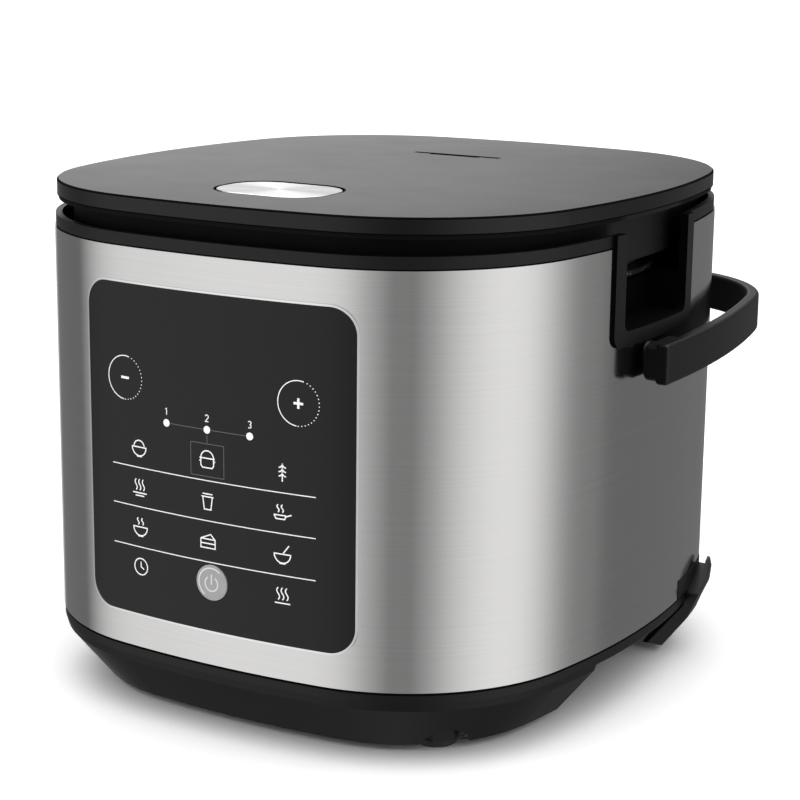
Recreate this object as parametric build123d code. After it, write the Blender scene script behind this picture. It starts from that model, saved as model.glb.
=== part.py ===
"""A rice cooker with a hinged lid, a swinging carry handle, a front control panel and an inner pot.

Millimetres, +Z up, the panel faces -Y. Inside this file the floor under the middle of the body is
the zero point; on export every piece moves by SHIFT_Y, so that the origin is under the middle of
the whole cooker with its handle folded back. One STEP file for each piece goes to parts/.
"""
from build123d import *
from dataclasses import dataclass
import math
import os

BIG = 600.0


@dataclass(frozen=True)
class Plan:
    """Closed outline of two side arcs and two end arcs, joined by four equal corner arcs."""

    half_w: float
    half_d: float
    side_r: float
    end_r: float
    corner_r: float

    def corner(self):
        """Centre of the back right corner arc, and the angles where it starts and ends."""
        side_x = self.half_w - self.side_r
        end_y = self.half_d - self.end_r
        side_reach = self.side_r - self.corner_r
        end_reach = self.end_r - self.corner_r
        gap = math.hypot(side_x, end_y)
        along = (side_reach**2 - end_reach**2 + gap**2) / (2 * gap)
        across = math.sqrt(side_reach**2 - along**2)
        x = side_x + (-along * side_x - across * end_y) / gap
        y = (along * end_y - across * side_x) / gap
        start = math.degrees(math.atan2(y, x - side_x))
        end = math.degrees(math.atan2(y - end_y, x))
        return x, y, start, end

    def face(self, grow=0.0):
        """Level face inside the outline, grown outwards by a distance."""
        x, y, start, end = self.corner()
        side_x = self.half_w - self.side_r
        end_y = self.half_d - self.end_r
        turn = end - start
        arcs = [
            CenterArc((side_x, 0), self.side_r + grow, -start, 2 * start),
            CenterArc((x, y), self.corner_r + grow, start, turn),
            CenterArc((0, end_y), self.end_r + grow, end, 180 - 2 * end),
            CenterArc((-x, y), self.corner_r + grow, 180 - end, turn),
            CenterArc((-side_x, 0), self.side_r + grow, 180 - start, 2 * start),
            CenterArc((-x, -y), self.corner_r + grow, 180 + start, turn),
            CenterArc((0, -end_y), self.end_r + grow, 180 + end, 180 - 2 * end),
            CenterArc((x, -y), self.corner_r + grow, -end, turn),
        ]
        return make_face(arcs)

    def prism(self, grow, z0, z1):
        """Upright solid inside the grown outline."""
        return extrude(Pos(0, 0, z0) * self.face(grow), z1 - z0, dir=(0, 0, 1))

    def ring(self, outer, inner, z0, z1):
        """Upright wall between two grown outlines."""
        return self.prism(outer, z0, z1) - self.prism(inner, z0, z1)

    def loft(self, levels):
        """Solid through grown outlines at several heights, given as (grow, z)."""
        return loft([Pos(0, 0, z) * self.face(grow) for grow, z in levels], ruled=True)


# Clearance between pieces that move past each other, and overlap of solids that grow together
GAP = 0.3
MERGE = 1.0
WALL = 2.5

# Body: plan outline and heights of its bands above the floor
BODY = Plan(half_w=142.5, half_d=155.5, side_r=396.0, end_r=483.0, corner_r=92.6)
FRONT_Y = -BODY.half_d
BACK_Y = BODY.half_d
STEEL_Z = 36.0
STEEL_TOP = 223.6
STEEL_T = 0.8
COLLAR_RISE = 5.9
COLLAR_TOP = STEEL_TOP + COLLAR_RISE
COLLAR_GROW = -0.6
COLLAR_T = 3.0
RIM_TILT = 0.014  # the body's rim rises towards the back

# Base
SKIRT_Z = 4.0
SKIRT_T = 2.8
SKIRT_IN = 20.0
BEVEL_TOP = STEEL_Z - 9.0
BEVEL_IN = 1.6
BAND_Z = STEEL_Z - 5.0
BAND_IN = 0.4
LEDGE_Z = BAND_Z - 1.2
LEDGE_W = 15.0
LEDGE_T = 3.0
PLATE_T = 3.0
PLATE_IN = 7.0
ARCH_FRONT = FRONT_Y + 108.0
ARCH_BACK = BACK_Y - 95.5
ARCH_DEEP = 52.0
FOOT_OUT = 58.2  # from the centre of the corner arc, along the diagonal
FOOT_X = BODY.corner()[0] + FOOT_OUT * math.cos(math.pi / 4)
FOOT_Y = BODY.corner()[1] + FOOT_OUT * math.sin(math.pi / 4)
FOOT_R = 10.0
FOOT_H = 7.0
FOOT_EDGE = 1.0
FOOT_BOSS_R = 12.5
SCALLOP_R = 12.0
SCALLOP_RISE = 9.0
VENT_SLOT = (5.0, 60.0)
VENT_PITCH = 14.0
VENT_COUNT = 5
EAR_STEPS = ((0.8, -15.0), (3.1, -9.0), (6.2, -2.0), (6.9, 5.0), (5.9, 9.4))  # grow, rise over STEEL_Z
EAR_LEVELS = ((8.0 - SKIRT_IN, SKIRT_Z), *((grow, STEEL_Z + rise) for grow, rise in EAR_STEPS))
EAR_TOP = EAR_LEVELS[-1][1]
EAR_BACK = BACK_Y - 65.0
FLANGE_Y = BACK_Y - 112.5
GUTTER = (0.3, 4.4)  # inner and outer grow
GUTTER_Z = (EAR_TOP - 11.0, EAR_TOP - 4.0)  # floor at the front and at the back
LIP_RAMP_L = 24.0
EAR_NOTCH_GAP = 0.2

# Panel
PANEL_W = 142.5
PANEL_Z = (STEEL_Z + 16.3, STEEL_TOP - 18.2)
PANEL_CORNER = 12.0
PANEL_GROW = (0.5, -1.5)
TRIM_W = 0.9
TRIM_GROW = 0.8
CARRIER_W = PANEL_W - 12.5
CARRIER_Z = (PANEL_Z[0] + 6.7, PANEL_Z[1] - 7.4)
CARRIER_BACK = FRONT_Y + 16.5
BOARD_FRONT = FRONT_Y + 9.5
BOARD_T = 1.6
BOARD_W = CARRIER_W - 14.0
BOARD_Z = (CARRIER_Z[0] + 7.0, CARRIER_Z[1] - 8.0)
BOARD_POST_IN = 6.0
BOARD_POST_X = BOARD_W / 2 - BOARD_POST_IN
BOARD_POST_Z = (BOARD_Z[0] + BOARD_POST_IN, BOARD_Z[1] - BOARD_POST_IN)
BOARD_POST_R = 3.5
BOARD_SCREW_L = 4.0
DISPLAY_SIZE = (62.0, 24.0)
DISPLAY_Z = PANEL_Z[1] - 43.2
DISPLAY_FRONT = FRONT_Y + 3.3
LED_X = (-22.4, 0.0, 22.4)
LED_Z = DISPLAY_Z - 17.4
LED_R = 2.5
LED_H = 5.0
POWER_Z = PANEL_Z[0] + 22.6
POWER_R = 8.3
POWER_EDGE = 0.4
POWER_FACE = FRONT_Y - 0.9
POWER_FLANGE = (10.5, 1.2)
POWER_TRAVEL = 0.7
POWER_STEM_R = 3.0
SWITCH_W = 12.0
SWITCH_H = 3.5
SWITCH_NIB = 1.0

# Chamber, pot, heater and sensor: the pot is as wide as the body leaves room for
DECK_Z = STEEL_TOP - 24.6
DECK_TOP = DECK_Z + 3.5
POT_SIDE_ROOM = 27.5
POT_END_ROOM = 40.5
POT_R = min(BODY.half_w - POT_SIDE_ROOM, BODY.half_d - POT_END_ROOM)
POT_T = 2.2
POT_CORNER = 22.0
POT_FLANGE_R = POT_R + 13.0
CHAMBER_R = POT_R + 4.5
CHAMBER_T = 1.5
CHAMBER_Z = STEEL_Z + 30.5
CHAMBER_FLANGE = (CHAMBER_R + 7.5, 1.5)
PLATE_R = POT_R - 23.0
PLATE_Z = CHAMBER_Z + 6.5
PLATE_EDGE = 2.0
PLATE_LEGS = 3
PLATE_LEG_R = 5.0
PLATE_LEG_AT = PLATE_R - 12.0
POT_Z = PLATE_Z + 9.0
HEATER_R = PLATE_R - 30.0
HEATER_WIRE_R = 3.5
HEATER_HOLE_GAP = 2.0
HEATER_GAP = 30.0  # degrees between the ends of the loop
HEATER_ARC = 360.0 - HEATER_GAP
HEATER_END_Z = CHAMBER_Z - 12.5
SENSOR_HOLE_R = 20.0
SENSOR_CAP_R = 17.5
SENSOR_CAP_Z = POT_Z - 6.0
SENSOR_EDGE = 1.0
SENSOR_STEM_R = 7.0
SENSOR_FIT = 0.06
SENSOR_END_Z = CHAMBER_Z - 20.0
SENSOR_CLIP = (9.0, 1.5)
GUIDE_R = 10.0
GUIDE_Z = CHAMBER_Z - 14.5
GUIDE_FLANGE = (30.0, 2.0)
FUSE_R = 2.2
FUSE_L = 16.0
FUSE_AT = 38.0
FUSE_CLIP_W = 4.0

# Side finger recess and its bezel
BEZEL_Y = -3.2
BEZEL_HALF_W = 42.3
BEZEL_Z = STEEL_TOP - 46.1
BEZEL_CORNER = 6.0
BEZEL_GROW = (1.4, -2.8)
RECESS_HALF_W = BEZEL_HALF_W - 8.8
RECESS_Z = BEZEL_Z + 7.0
RECESS_CORNER = 4.0
TRAY_X = CHAMBER_R + 1.0
TRAY_T = 2.0
TRAY_TOP = DECK_Z + 1.0

# Electrics in the base: x span, y span, and the board's height or the height above it
POWER_BOARD = ((-55.0, 55.0), (BACK_Y - 97.5, BACK_Y - 31.5), STEEL_Z + 1.0)
TRANSFORMER = ((-48.0, -6.0), (BACK_Y - 81.5, BACK_Y - 46.5), 22.0)
RELAY = ((14.0, 34.0), (BACK_Y - 75.5, BACK_Y - 55.5), 16.0)
INLET_HALF_W = 20.0
INLET_Z = (STEEL_Z + 10.0, STEEL_Z + 38.0)
INLET_RIM = 3.5
INLET_RIM_GROW = 1.6
INLET_BACK = BACK_Y - 29.5
SOCKET_HALF_W = 13.0
SOCKET_Z = (INLET_Z[0] + 5.0, INLET_Z[1] - 5.0)
SOCKET_FLOOR = BACK_Y - 21.5
PIN_X = (-7.0, 0.0, 7.0)
PIN_SIZE = (2.0, 4.0)
PIN_TIP = BACK_Y - 5.5
PIN_TAIL = INLET_BACK - 4.0

# Lid
LID_Z = COLLAR_TOP + 6.9
LID_GROW = -1.4
LID_EDGE = (LID_GROW - 0.8, 7.5)  # grow and rise of the rounded edge's end
CROWN = (9.2, 1.7, 45.0)  # rise the dome tends to, what it lacks at the edge, and how fast it gets there
CROWN_IN = (8.0, 18.0, 30.0, 45.0, 63.0, BODY.corner_r - 10.0)
LID_CROWN = tuple((LID_GROW - s, CROWN[0] - CROWN[1] * math.exp(-s / CROWN[2])) for s in CROWN_IN)
LID_STEPS = ((LID_GROW, 0.0), (LID_GROW, 6.8), LID_EDGE, *LID_CROWN)
LID_LEVELS = tuple((grow, LID_Z + rise) for grow, rise in LID_STEPS)
LID_ROOF = LID_Z + 4.8
LID_WALL = 2.8
LINER_RIM = (-2.2, -14.0, 1.9)
LINER_GROW = -9.0
LINER_Z = DECK_TOP + 10.5
INNER_LID_R = POT_R - 3.0
INNER_LID_Z = DECK_TOP + 6.1
INNER_LID_T = 1.4
INNER_LID_POST_R = 10.0
GASKET_R = (POT_R - 8.0, POT_R + 6.0)
GASKET_Z = (DECK_TOP + 4.1, DECK_TOP + 8.7)
STEAM_HOLE_R = 3.0
STEAM_HOLES = 8
STEAM_RING_R = 30.0
VALVE_Y = BACK_Y - 92.7
VALVE_HALF = (29.0, 13.0)
VALVE_HOLE_R = 6.0
VENT_HALF_W = 24.5
VENT_W = 2.4
VENT_MOUTH = (14.5, 5.6)  # half width and depth of the slot's wider middle
LID_SCREW_X = BODY.half_w - 31.5
LID_SCREW_Y = BODY.half_d - 83.5
LID_SCREW_L = 14.0
LID_POST_R = 5.0

# Lid button and latch
BUTTON_SIZE = (57.0, 42.0)
BUTTON_CORNER = 18.0
BUTTON_Y = FRONT_Y + 54.0
BUTTON_TOP = LID_Z + 8.6
BUTTON_EDGE = 0.6
BUTTON_GAP = 0.7
BUTTON_TRAVEL = 3.0
BUTTON_LIP = 2.0
BUTTON_FLANGE = (LID_Z + 1.8, LID_Z + 4.5)
BUTTON_POST_R = 5.0
BUTTON_POST_Z = LINER_Z + 8.5
BUTTON_FIT = 0.06
BOSS_R = 9.0
BOSS_FLOOR = 1.0
BOSS_TOP = LINER_Z + 15.0
LATCH_HALF_W = 8.0
LATCH_Z = (LINER_Z + 2.8, LINER_Z + 5.6)
LATCH_Y = (FRONT_Y + 6.3, BUTTON_Y - 15.5)
RAMP_HALF_W = 5.0
RAMP_Y = (LATCH_Y[1] - 6.5, LATCH_Y[1])
RAMP_Z = LINER_Z + 16.0  # height of the slope's front end
RAMP_GAP = 0.3
RAMP_TOP = BUTTON_FLANGE[0] - BUTTON_TRAVEL - 2 * GAP
STRIKE_HALF_W = 9.0
STRIKE_Y = FRONT_Y + 5.9
STRIKE_Z = (LATCH_Z[1] + 0.4, LATCH_Z[1] + 4.4)

# Hinge
HINGE_Y = BACK_Y - 4.5
HINGE_Z = LID_Z - 9.4
BARREL_R = 4.0
HINGE_PIN_R = 2.5
HINGE_PIN_END = 1.5
HINGE_FIT = 0.05
KNUCKLE_X = (20.0, 43.5)
ARM_BACK = 2.0
LUG_X = (44.0, 50.0)
HINGE_NOTCH_W = 54.0
HINGE_NOTCH_GAP = 1.0
HINGE_STEEL_Z = HINGE_Z - 7.8
HINGE_COLLAR_Z = HINGE_Z - 10.0
BRACKET_Y = BACK_Y - 8.2
BRACKET_TOP = HINGE_Z - 11.0
HINGE_COVER_TOP = HINGE_Z - 5.0
SHIELD_TOP = HINGE_Z + 3.5
SHIELD_GAP = 0.6
SHIELD_GROW = (1.2, -0.4)
HINGE_SCREW_X = 30.0

# Carry handle, folded back
HANDLE_OUT = (14.8, 31.5)  # how far its outside stands off the body's side and back
HANDLE = Plan(
    half_w=BODY.half_w + HANDLE_OUT[0],
    half_d=BODY.half_d + HANDLE_OUT[1],
    side_r=570.0,
    end_r=900.0,
    corner_r=78.0,
)
HANDLE_T = 6.5
HANDLE_H = 19.0
HANDLE_EDGE = 1.8
HANDLE_TIP_R = 2.0
PIVOT_Y = -6.4
PIVOT_Z = STEEL_TOP - 55.6
HANDLE_END_Y = PIVOT_Y - 14.6
HUB_H = 16.8
HUB_CORNER = 3.5
HUB_EDGE = 2.0
HUB_X = HANDLE.half_w - HANDLE_T - 6.3
PIVOT_CLEAR = 0.5
PIVOT_BOSS_R = 7.5
PIVOT_BOSS_L = 6.0
PIVOT_BOSS_X = HUB_X - PIVOT_CLEAR
JOURNAL_R = 3.2
JOURNAL_L = 8.0
JOURNAL_FIT = 0.05
STUD_R = 5.0
STUD_X = BODY.half_w - 9.5
STUD_END = 1.0
NUT_R = 8.5
STOP_R = 0.9
STOP_AT = 5.1
STOP_L = 2.4
STOP_GAP = 0.3
SWING = 90.0

# Springs: mean radius, wire radius, pitch and turns
BUTTON_COIL = (8.0, 0.6, 2.2, 4.0)
SENSOR_COIL = (12.0, 0.65, 2.4, 3.25)
HINGE_COIL = (3.2, 0.45, 1.7, 14.0)
COIL_SEAT = 0.1
COIL_STEPS = 48  # sample points in one turn, for the gap between turns

# Screws: head radius, head height and shank radius
SCREW = (3.5, 2.2, 1.7)
SMALL_SCREW = (2.2, 1.6, 1.2)

SHIFT_Y = -(HANDLE.half_d + POWER_FACE) / 2


def block(x, y, z):
    """Box between two x, two y and two z values."""
    spans = (x, y, z)
    size = [high - low for low, high in spans]
    middle = [(high + low) / 2 for low, high in spans]
    return Pos(*middle) * Box(*size)


def rod(radius, start, length, axis="Z"):
    """Cylinder from a start point along +X, +Y or +Z."""
    turn = {"X": Rot(0, 90, 0), "Y": Rot(-90, 0, 0), "Z": Rot(0, 0, 0)}[axis]
    base = (Align.CENTER, Align.CENTER, Align.MIN)
    return Pos(*start) * turn * Cylinder(radius, length, align=base)


def tube(outer_r, inner_r, z0, z1):
    """Upright pipe round the Z axis."""
    return rod(outer_r, (0, 0, z0), z1 - z0) - rod(inner_r, (0, 0, z0), z1 - z0)


def end_block(width, z, corner, y):
    """Block between two y values with a rounded outline seen from the front."""
    plane = Plane((0, y[0], (z[0] + z[1]) / 2), x_dir=(1, 0, 0), z_dir=(0, 1, 0))
    return extrude(plane * RectangleRounded(width, z[1] - z[0], corner), y[1] - y[0], dir=(0, 1, 0))


def side_block(width, z, corner, x):
    """Block between two x values with a rounded outline seen from the side."""
    plane = Plane((x[0], 0, (z[0] + z[1]) / 2), x_dir=(0, 1, 0), z_dir=(1, 0, 0))
    return extrude(plane * RectangleRounded(width, z[1] - z[0], corner), x[1] - x[0], dir=(1, 0, 0))


def top_block(size, corner, y, z):
    """Block between two z values with a rounded outline seen from above."""
    outline = Pos(0, y, z[0]) * RectangleRounded(size[0], size[1], corner)
    return extrude(outline, z[1] - z[0], dir=(0, 0, 1))


def both_sides(shape):
    """The shape and its mirror image across the middle of the cooker."""
    return shape + mirror(shape, about=Plane.YZ)


def four_corners(shape):
    """The shape in the front right corner and its images in the other corners."""
    return both_sides(shape + mirror(shape, about=Plane.XZ))


def above_rim(z):
    """Everything above the tilted rim plane that passes through height z in the middle."""
    tilt = math.degrees(math.atan(RIM_TILT))
    base = (Align.CENTER, Align.CENTER, Align.MIN)
    return Pos(0, 0, z) * Rot(tilt, 0, 0) * Box(BIG, BIG, BIG, align=base)


def screw(kind, length, start, turn=Rot(0, 0, 0)):
    """Pan-head screw whose shank starts under its head and points along turned +Z."""
    head_r, head_h, shank_r = kind
    body = rod(shank_r, (0, 0, 0), length) + rod(head_r, (0, 0, -head_h), head_h)
    return Pos(*start) * turn * body


def biarc(p0, t0, p1, t1):
    """Two tangent arcs from p0 along t0 to p1 along t1."""
    span = p1 - p0
    both = t0 + t1
    bend = 2 * (1 - t0.dot(t1))
    reach = span.dot(both)
    d = (math.sqrt(reach**2 + bend * span.dot(span)) - reach) / bend
    near = p0 + t0 * d
    far = p1 - t1 * d
    middle = (near + far) * 0.5
    chord = (far - near).normalized()
    return [TangentArc(p0, middle, tangent=t0), TangentArc(middle, p1, tangent=chord)]


def coil(name, size):
    """Round wire wound up the Z axis from z = 0, with straight ends of one wire diameter."""
    radius, wire_r, pitch, turns = size
    rise = pitch / (2 * math.pi)
    pace = math.hypot(radius, rise)

    def point(angle):
        return Vector(radius * math.cos(angle), radius * math.sin(angle), rise * angle)

    def heading(angle):
        return Vector(-radius * math.sin(angle), radius * math.cos(angle), rise) * (1 / pace)

    quarters = round(4 * turns)
    angles = [math.pi / 2 * i for i in range(quarters + 1)]
    start = point(angles[0]) - heading(angles[0]) * (2 * wire_r)
    end = point(angles[-1]) + heading(angles[-1]) * (2 * wire_r)
    path = [Line(start, point(angles[0]))]
    for a0, a1 in zip(angles, angles[1:]):
        path += biarc(point(a0), heading(a0), point(a1), heading(a1))
    path.append(Line(point(angles[-1]), end))
    samples = [point(2 * math.pi / COIL_STEPS * i) for i in range(round(COIL_STEPS * turns))]
    apart = min((samples[0] - p).length for p in samples[COIL_STEPS // 2:])
    print(f"{name}: least gap between turns {apart - 2 * wire_r:.2f} mm")
    section = Plane(start, z_dir=heading(angles[0])) * Circle(wire_r)
    return sweep(section, path=Wire(path))


def base_levels(inwards):
    """Outlines up the base, given as (grow, z), moved inwards by a wall thickness."""
    steps = ((SKIRT_IN, SKIRT_Z), (BEVEL_IN, BEVEL_TOP), (BAND_IN, BAND_Z), (BAND_IN, STEEL_Z))
    return [(-inset - inwards, z) for inset, z in steps]


def base_outside():
    """The base's outer form, from the foot of the skirt to the steel."""
    return BODY.loft(base_levels(0))


def base_screws():
    """Four screws up through the bottom plate into the base's ledge."""
    x = BODY.half_w - BAND_IN - SKIRT_T - LEDGE_W / 2
    y = BODY.half_d - BAND_IN - SKIRT_T - LEDGE_W / 2
    low = LEDGE_Z - PLATE_T
    length = PLATE_T + LEDGE_T
    screws = both_sides(screw(SCREW, length, (x, 0, low)))
    for end_y in (-y, y):
        screws += screw(SCREW, length, (0, end_y, low))
    return screws


def base_pan():
    """Skirt with a ledge inside, foot bosses, side arches and a scallop over each front foot."""
    wall = SKIRT_T
    inside = BODY.loft(base_levels(wall))
    ledge_out = -BAND_IN - wall
    ledge_top = LEDGE_Z + LEDGE_T
    ledge = BODY.ring(-BEVEL_IN - wall / 2, ledge_out - LEDGE_W, LEDGE_Z, ledge_top)
    pan = base_outside() - inside + ledge
    for side in (1, -1):
        x = sorted((side * (BODY.half_w + wall), side * (BODY.half_w - ARCH_DEEP)))
        pan -= block(x, (ARCH_FRONT, ARCH_BACK), (0, LEDGE_Z))
    boss = rod(FOOT_BOSS_R, (FOOT_X, FOOT_Y, SKIRT_Z), ledge_top - SKIRT_Z) & base_outside()
    pan += four_corners(boss)
    corner_x, corner_y, _, _ = BODY.corner()
    scallop = rod(SCALLOP_R, (0, 0, 0), BODY.corner_r, "X")
    reach = BODY.corner_r - SKIRT_IN - wall
    out = Pos(corner_x, -corner_y, SKIRT_Z + SCALLOP_RISE - SCALLOP_R) * Rot(0, 0, -45) * Pos(reach, 0, 0)
    pan -= both_sides(out * scallop)
    return pan - rubber_feet() - base_screws()


def bottom_plate():
    """Vented plate that closes the base under the ledge."""
    low = LEDGE_Z - PLATE_T
    plate = BODY.prism(-PLATE_IN, low, LEDGE_Z)
    plate -= four_corners(rod(FOOT_BOSS_R, (FOOT_X, FOOT_Y, low), PLATE_T))
    width, length = VENT_SLOT
    for i in range(VENT_COUNT):
        y = VENT_PITCH * (i - (VENT_COUNT - 1) / 2)
        slot = block((-length / 2, length / 2), (y - width / 2, y + width / 2), (low, LEDGE_Z))
        plate -= slot
    x, y, low_board = POWER_BOARD
    for post_x in x:
        for post_y in y:
            inset_x = post_x - math.copysign(SCREW[0], post_x)
            inset_y = post_y - math.copysign(SCREW[0], post_y - sum(y) / 2)
            plate += rod(SCREW[0], (inset_x, inset_y, LEDGE_Z), low_board - LEDGE_Z)
    return plate - base_screws()


def rubber_feet():
    """Four round pads that the cooker stands on."""
    pad = rod(FOOT_R, (FOOT_X, FOOT_Y, 0), FOOT_H)
    pad = fillet(pad.edges().sort_by(Axis.Z)[0], FOOT_EDGE)
    return four_corners(pad)


def cord_hooks():
    """Flared ears near the two back corners of the base, each with a rising gutter behind a lip."""
    inner, outer = GUTTER
    low, high = GUTTER_Z
    ears = BODY.loft(EAR_LEVELS) - base_outside() - BODY.prism(-BAND_IN, STEEL_Z, EAR_TOP)
    ears &= block((0, BIG / 2), (ARCH_BACK, EAR_BACK), (0, EAR_TOP))
    room = [(ARCH_BACK, low), (EAR_BACK, high), (EAR_BACK, EAR_TOP), (ARCH_BACK, EAR_TOP)]
    gutter = extrude(Plane.YZ * make_face(Polyline(*room, close=True)), BIG / 2, both=True)
    ears -= BODY.ring(outer, inner, low, EAR_TOP) & gutter
    slope = [(ARCH_BACK, low), (ARCH_BACK + LIP_RAMP_L, EAR_TOP), (ARCH_BACK, EAR_TOP)]
    ears -= extrude(Plane.YZ * make_face(Polyline(*slope, close=True)), BIG / 2, both=True)
    flange = BODY.ring(inner, -BAND_IN, STEEL_Z, EAR_TOP)
    return both_sides(ears + (flange & block((0, BIG / 2), (FLANGE_Y, EAR_BACK), (0, EAR_TOP))))


def wrap_shell():
    """The steel sheet before anything is cut into it."""
    return BODY.ring(0, -STEEL_T, STEEL_Z, LID_Z) - above_rim(STEEL_TOP)


def body_wrap():
    """Steel sheet round the body with its openings."""
    wrap = wrap_shell() - panel_outline(TRIM_W)
    for side in (1, -1):
        wrap -= bezel_outline(side)
        wrap -= rod(STUD_R, (side * BODY.half_w - STUD_R, PIVOT_Y, PIVOT_Z), 2 * STUD_R, "X")
        ear_x = sorted((0, side * BIG / 2))
        wrap -= block(ear_x, (FLANGE_Y, EAR_BACK + EAR_NOTCH_GAP), (STEEL_Z, EAR_TOP + EAR_NOTCH_GAP))
    wrap -= block((-INLET_HALF_W, INLET_HALF_W), (INLET_BACK, BIG / 2), INLET_Z)
    return wrap - block((-HINGE_NOTCH_W, HINGE_NOTCH_W), (INLET_BACK, BIG / 2), (HINGE_STEEL_Z, LID_Z))


def collar():
    """Plastic rim on the steel, with a deck that carries the cooking chamber."""
    rim = BODY.ring(COLLAR_GROW, COLLAR_GROW - COLLAR_T, DECK_Z, LID_Z)
    rim = rim - above_rim(COLLAR_TOP) - wrap_shell()
    rim += BODY.prism(-STEEL_T, DECK_Z, DECK_TOP) - rod(CHAMBER_R, (0, 0, DECK_Z), DECK_TOP - DECK_Z)
    for side in (1, -1):
        rim -= bezel_outline(side)
        tray_x = sorted((side * TRAY_X, side * BIG / 2))
        rim -= block(tray_x, recess_span(WALL), (DECK_Z, LID_Z))
    rim -= BODY.ring(0, PANEL_GROW[1], DECK_Z, LID_Z) & panel_outline(TRIM_W)
    width = HINGE_NOTCH_W + HINGE_NOTCH_GAP
    rim -= block((-width, width), (BRACKET_Y, BIG / 2), (HINGE_COLLAR_Z, LID_Z))
    return rim - hinge_screws()


def recess_span(extra):
    """The y span of the finger recess, widened at both ends."""
    return BEZEL_Y - RECESS_HALF_W - extra, BEZEL_Y + RECESS_HALF_W + extra


def bezel_outline(side):
    """Block through one side wall with the outer outline of the side bezel."""
    x = sorted((side * (BODY.half_w - 3 * COLLAR_T), side * BIG / 2))
    high = LID_Z + 2 * BEZEL_CORNER
    return Pos(0, BEZEL_Y, 0) * side_block(2 * BEZEL_HALF_W, (BEZEL_Z, high), BEZEL_CORNER, x)


def side_bezel(side):
    """Frame of one finger recess and the tray behind it."""
    frame = BODY.ring(BEZEL_GROW[0], BEZEL_GROW[1], BEZEL_Z, LID_Z) & bezel_outline(side)
    frame -= above_rim(COLLAR_TOP)
    x = sorted((side * (BODY.half_w - ARCH_DEEP), side * BIG / 2))
    high = LID_Z + 2 * RECESS_CORNER
    frame -= Pos(0, BEZEL_Y, 0) * side_block(2 * RECESS_HALF_W, (RECESS_Z, high), RECESS_CORNER, x)
    front = BODY.half_w + BEZEL_GROW[1] + MERGE
    near = sorted((side * TRAY_X, side * front))
    tray = block(near, recess_span(WALL), (RECESS_Z - WALL, DECK_TOP))
    tray -= block(near, recess_span(0), (RECESS_Z, DECK_TOP))
    back = sorted((side * TRAY_X, side * (TRAY_X + TRAY_T)))
    tray += block(back, recess_span(WALL), (RECESS_Z, TRAY_TOP))
    return frame + tray


def panel_outline(extra):
    """Block through the front wall with the panel's outline, widened all round."""
    z = (PANEL_Z[0] - extra, PANEL_Z[1] + extra)
    return end_block(PANEL_W + 2 * extra, z, PANEL_CORNER + extra, (-BIG / 2, CARRIER_BACK))


def control_panel():
    """Curved glossy panel with a hole for the power button."""
    panel = BODY.ring(PANEL_GROW[0], PANEL_GROW[1], *PANEL_Z) & panel_outline(0)
    return panel - rod(POWER_R + GAP, (0, -BIG / 2, POWER_Z), BIG / 2, "Y")


def panel_trim():
    """Thin bright frame between the panel and the steel."""
    z = (PANEL_Z[0] - TRIM_W, PANEL_Z[1] + TRIM_W)
    return (BODY.ring(TRIM_GROW, PANEL_GROW[1], *z) & panel_outline(TRIM_W)) - panel_outline(0)


def panel_carrier():
    """Open box behind the panel, standing on the base's ledge, with posts for the board."""
    far = -BIG / 2
    carrier = end_block(CARRIER_W, CARRIER_Z, PANEL_CORNER - WALL, (far, CARRIER_BACK))
    z = (CARRIER_Z[0] + WALL, CARRIER_Z[1] - WALL)
    floor = CARRIER_BACK - WALL
    carrier -= end_block(CARRIER_W - 2 * WALL, z, PANEL_CORNER - 2 * WALL, (far, floor))
    carrier &= BODY.prism(PANEL_GROW[1], *CARRIER_Z)
    ledge = LEDGE_Z + LEDGE_T
    for x in (-BOARD_POST_X, BOARD_POST_X):
        leg_x = (x - 2 * WALL, x + 2 * WALL)
        carrier += block(leg_x, (floor, CARRIER_BACK), (ledge, CARRIER_Z[0] + WALL))
        for post_z in BOARD_POST_Z:
            start = BOARD_FRONT + BOARD_T
            carrier += rod(BOARD_POST_R, (x, start, post_z), floor - start, "Y")
    return carrier - panel_screws()


def control_board():
    """Circuit board behind the panel."""
    half = BOARD_W / 2
    board = block((-half, half), (BOARD_FRONT, BOARD_FRONT + BOARD_T), BOARD_Z)
    return board - panel_screws()


def panel_screws():
    """Four small screws that hold the board on the carrier's posts."""
    screws = Part()
    for x in (-BOARD_POST_X, BOARD_POST_X):
        for z in BOARD_POST_Z:
            screws += screw(SMALL_SCREW, BOARD_SCREW_L, (x, BOARD_FRONT, z), Rot(-90, 0, 0))
    return screws


def display_module():
    """Digit display between the two setting keys."""
    half_w, half_h = DISPLAY_SIZE[0] / 2, DISPLAY_SIZE[1] / 2
    z = (DISPLAY_Z - half_h, DISPLAY_Z + half_h)
    return block((-half_w, half_w), (DISPLAY_FRONT, BOARD_FRONT), z)


def indicator_leds():
    """Three lamps with domed tips behind the panel's dots."""
    lamps = Part()
    for x in LED_X:
        lamp = rod(LED_R, (x, BOARD_FRONT - LED_H + LED_R, LED_Z), LED_H - LED_R, "Y")
        lamps += lamp + Pos(x, BOARD_FRONT - LED_H + LED_R, LED_Z) * Sphere(LED_R)
    return lamps


def power_switch():
    """Tact switch behind the power button."""
    half = SWITCH_W / 2
    front = BOARD_FRONT - SWITCH_H
    body = block((-half, half), (front, BOARD_FRONT), (POWER_Z - half, POWER_Z + half))
    return body + rod(POWER_STEM_R, (0, front - SWITCH_NIB, POWER_Z), SWITCH_NIB, "Y")


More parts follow.
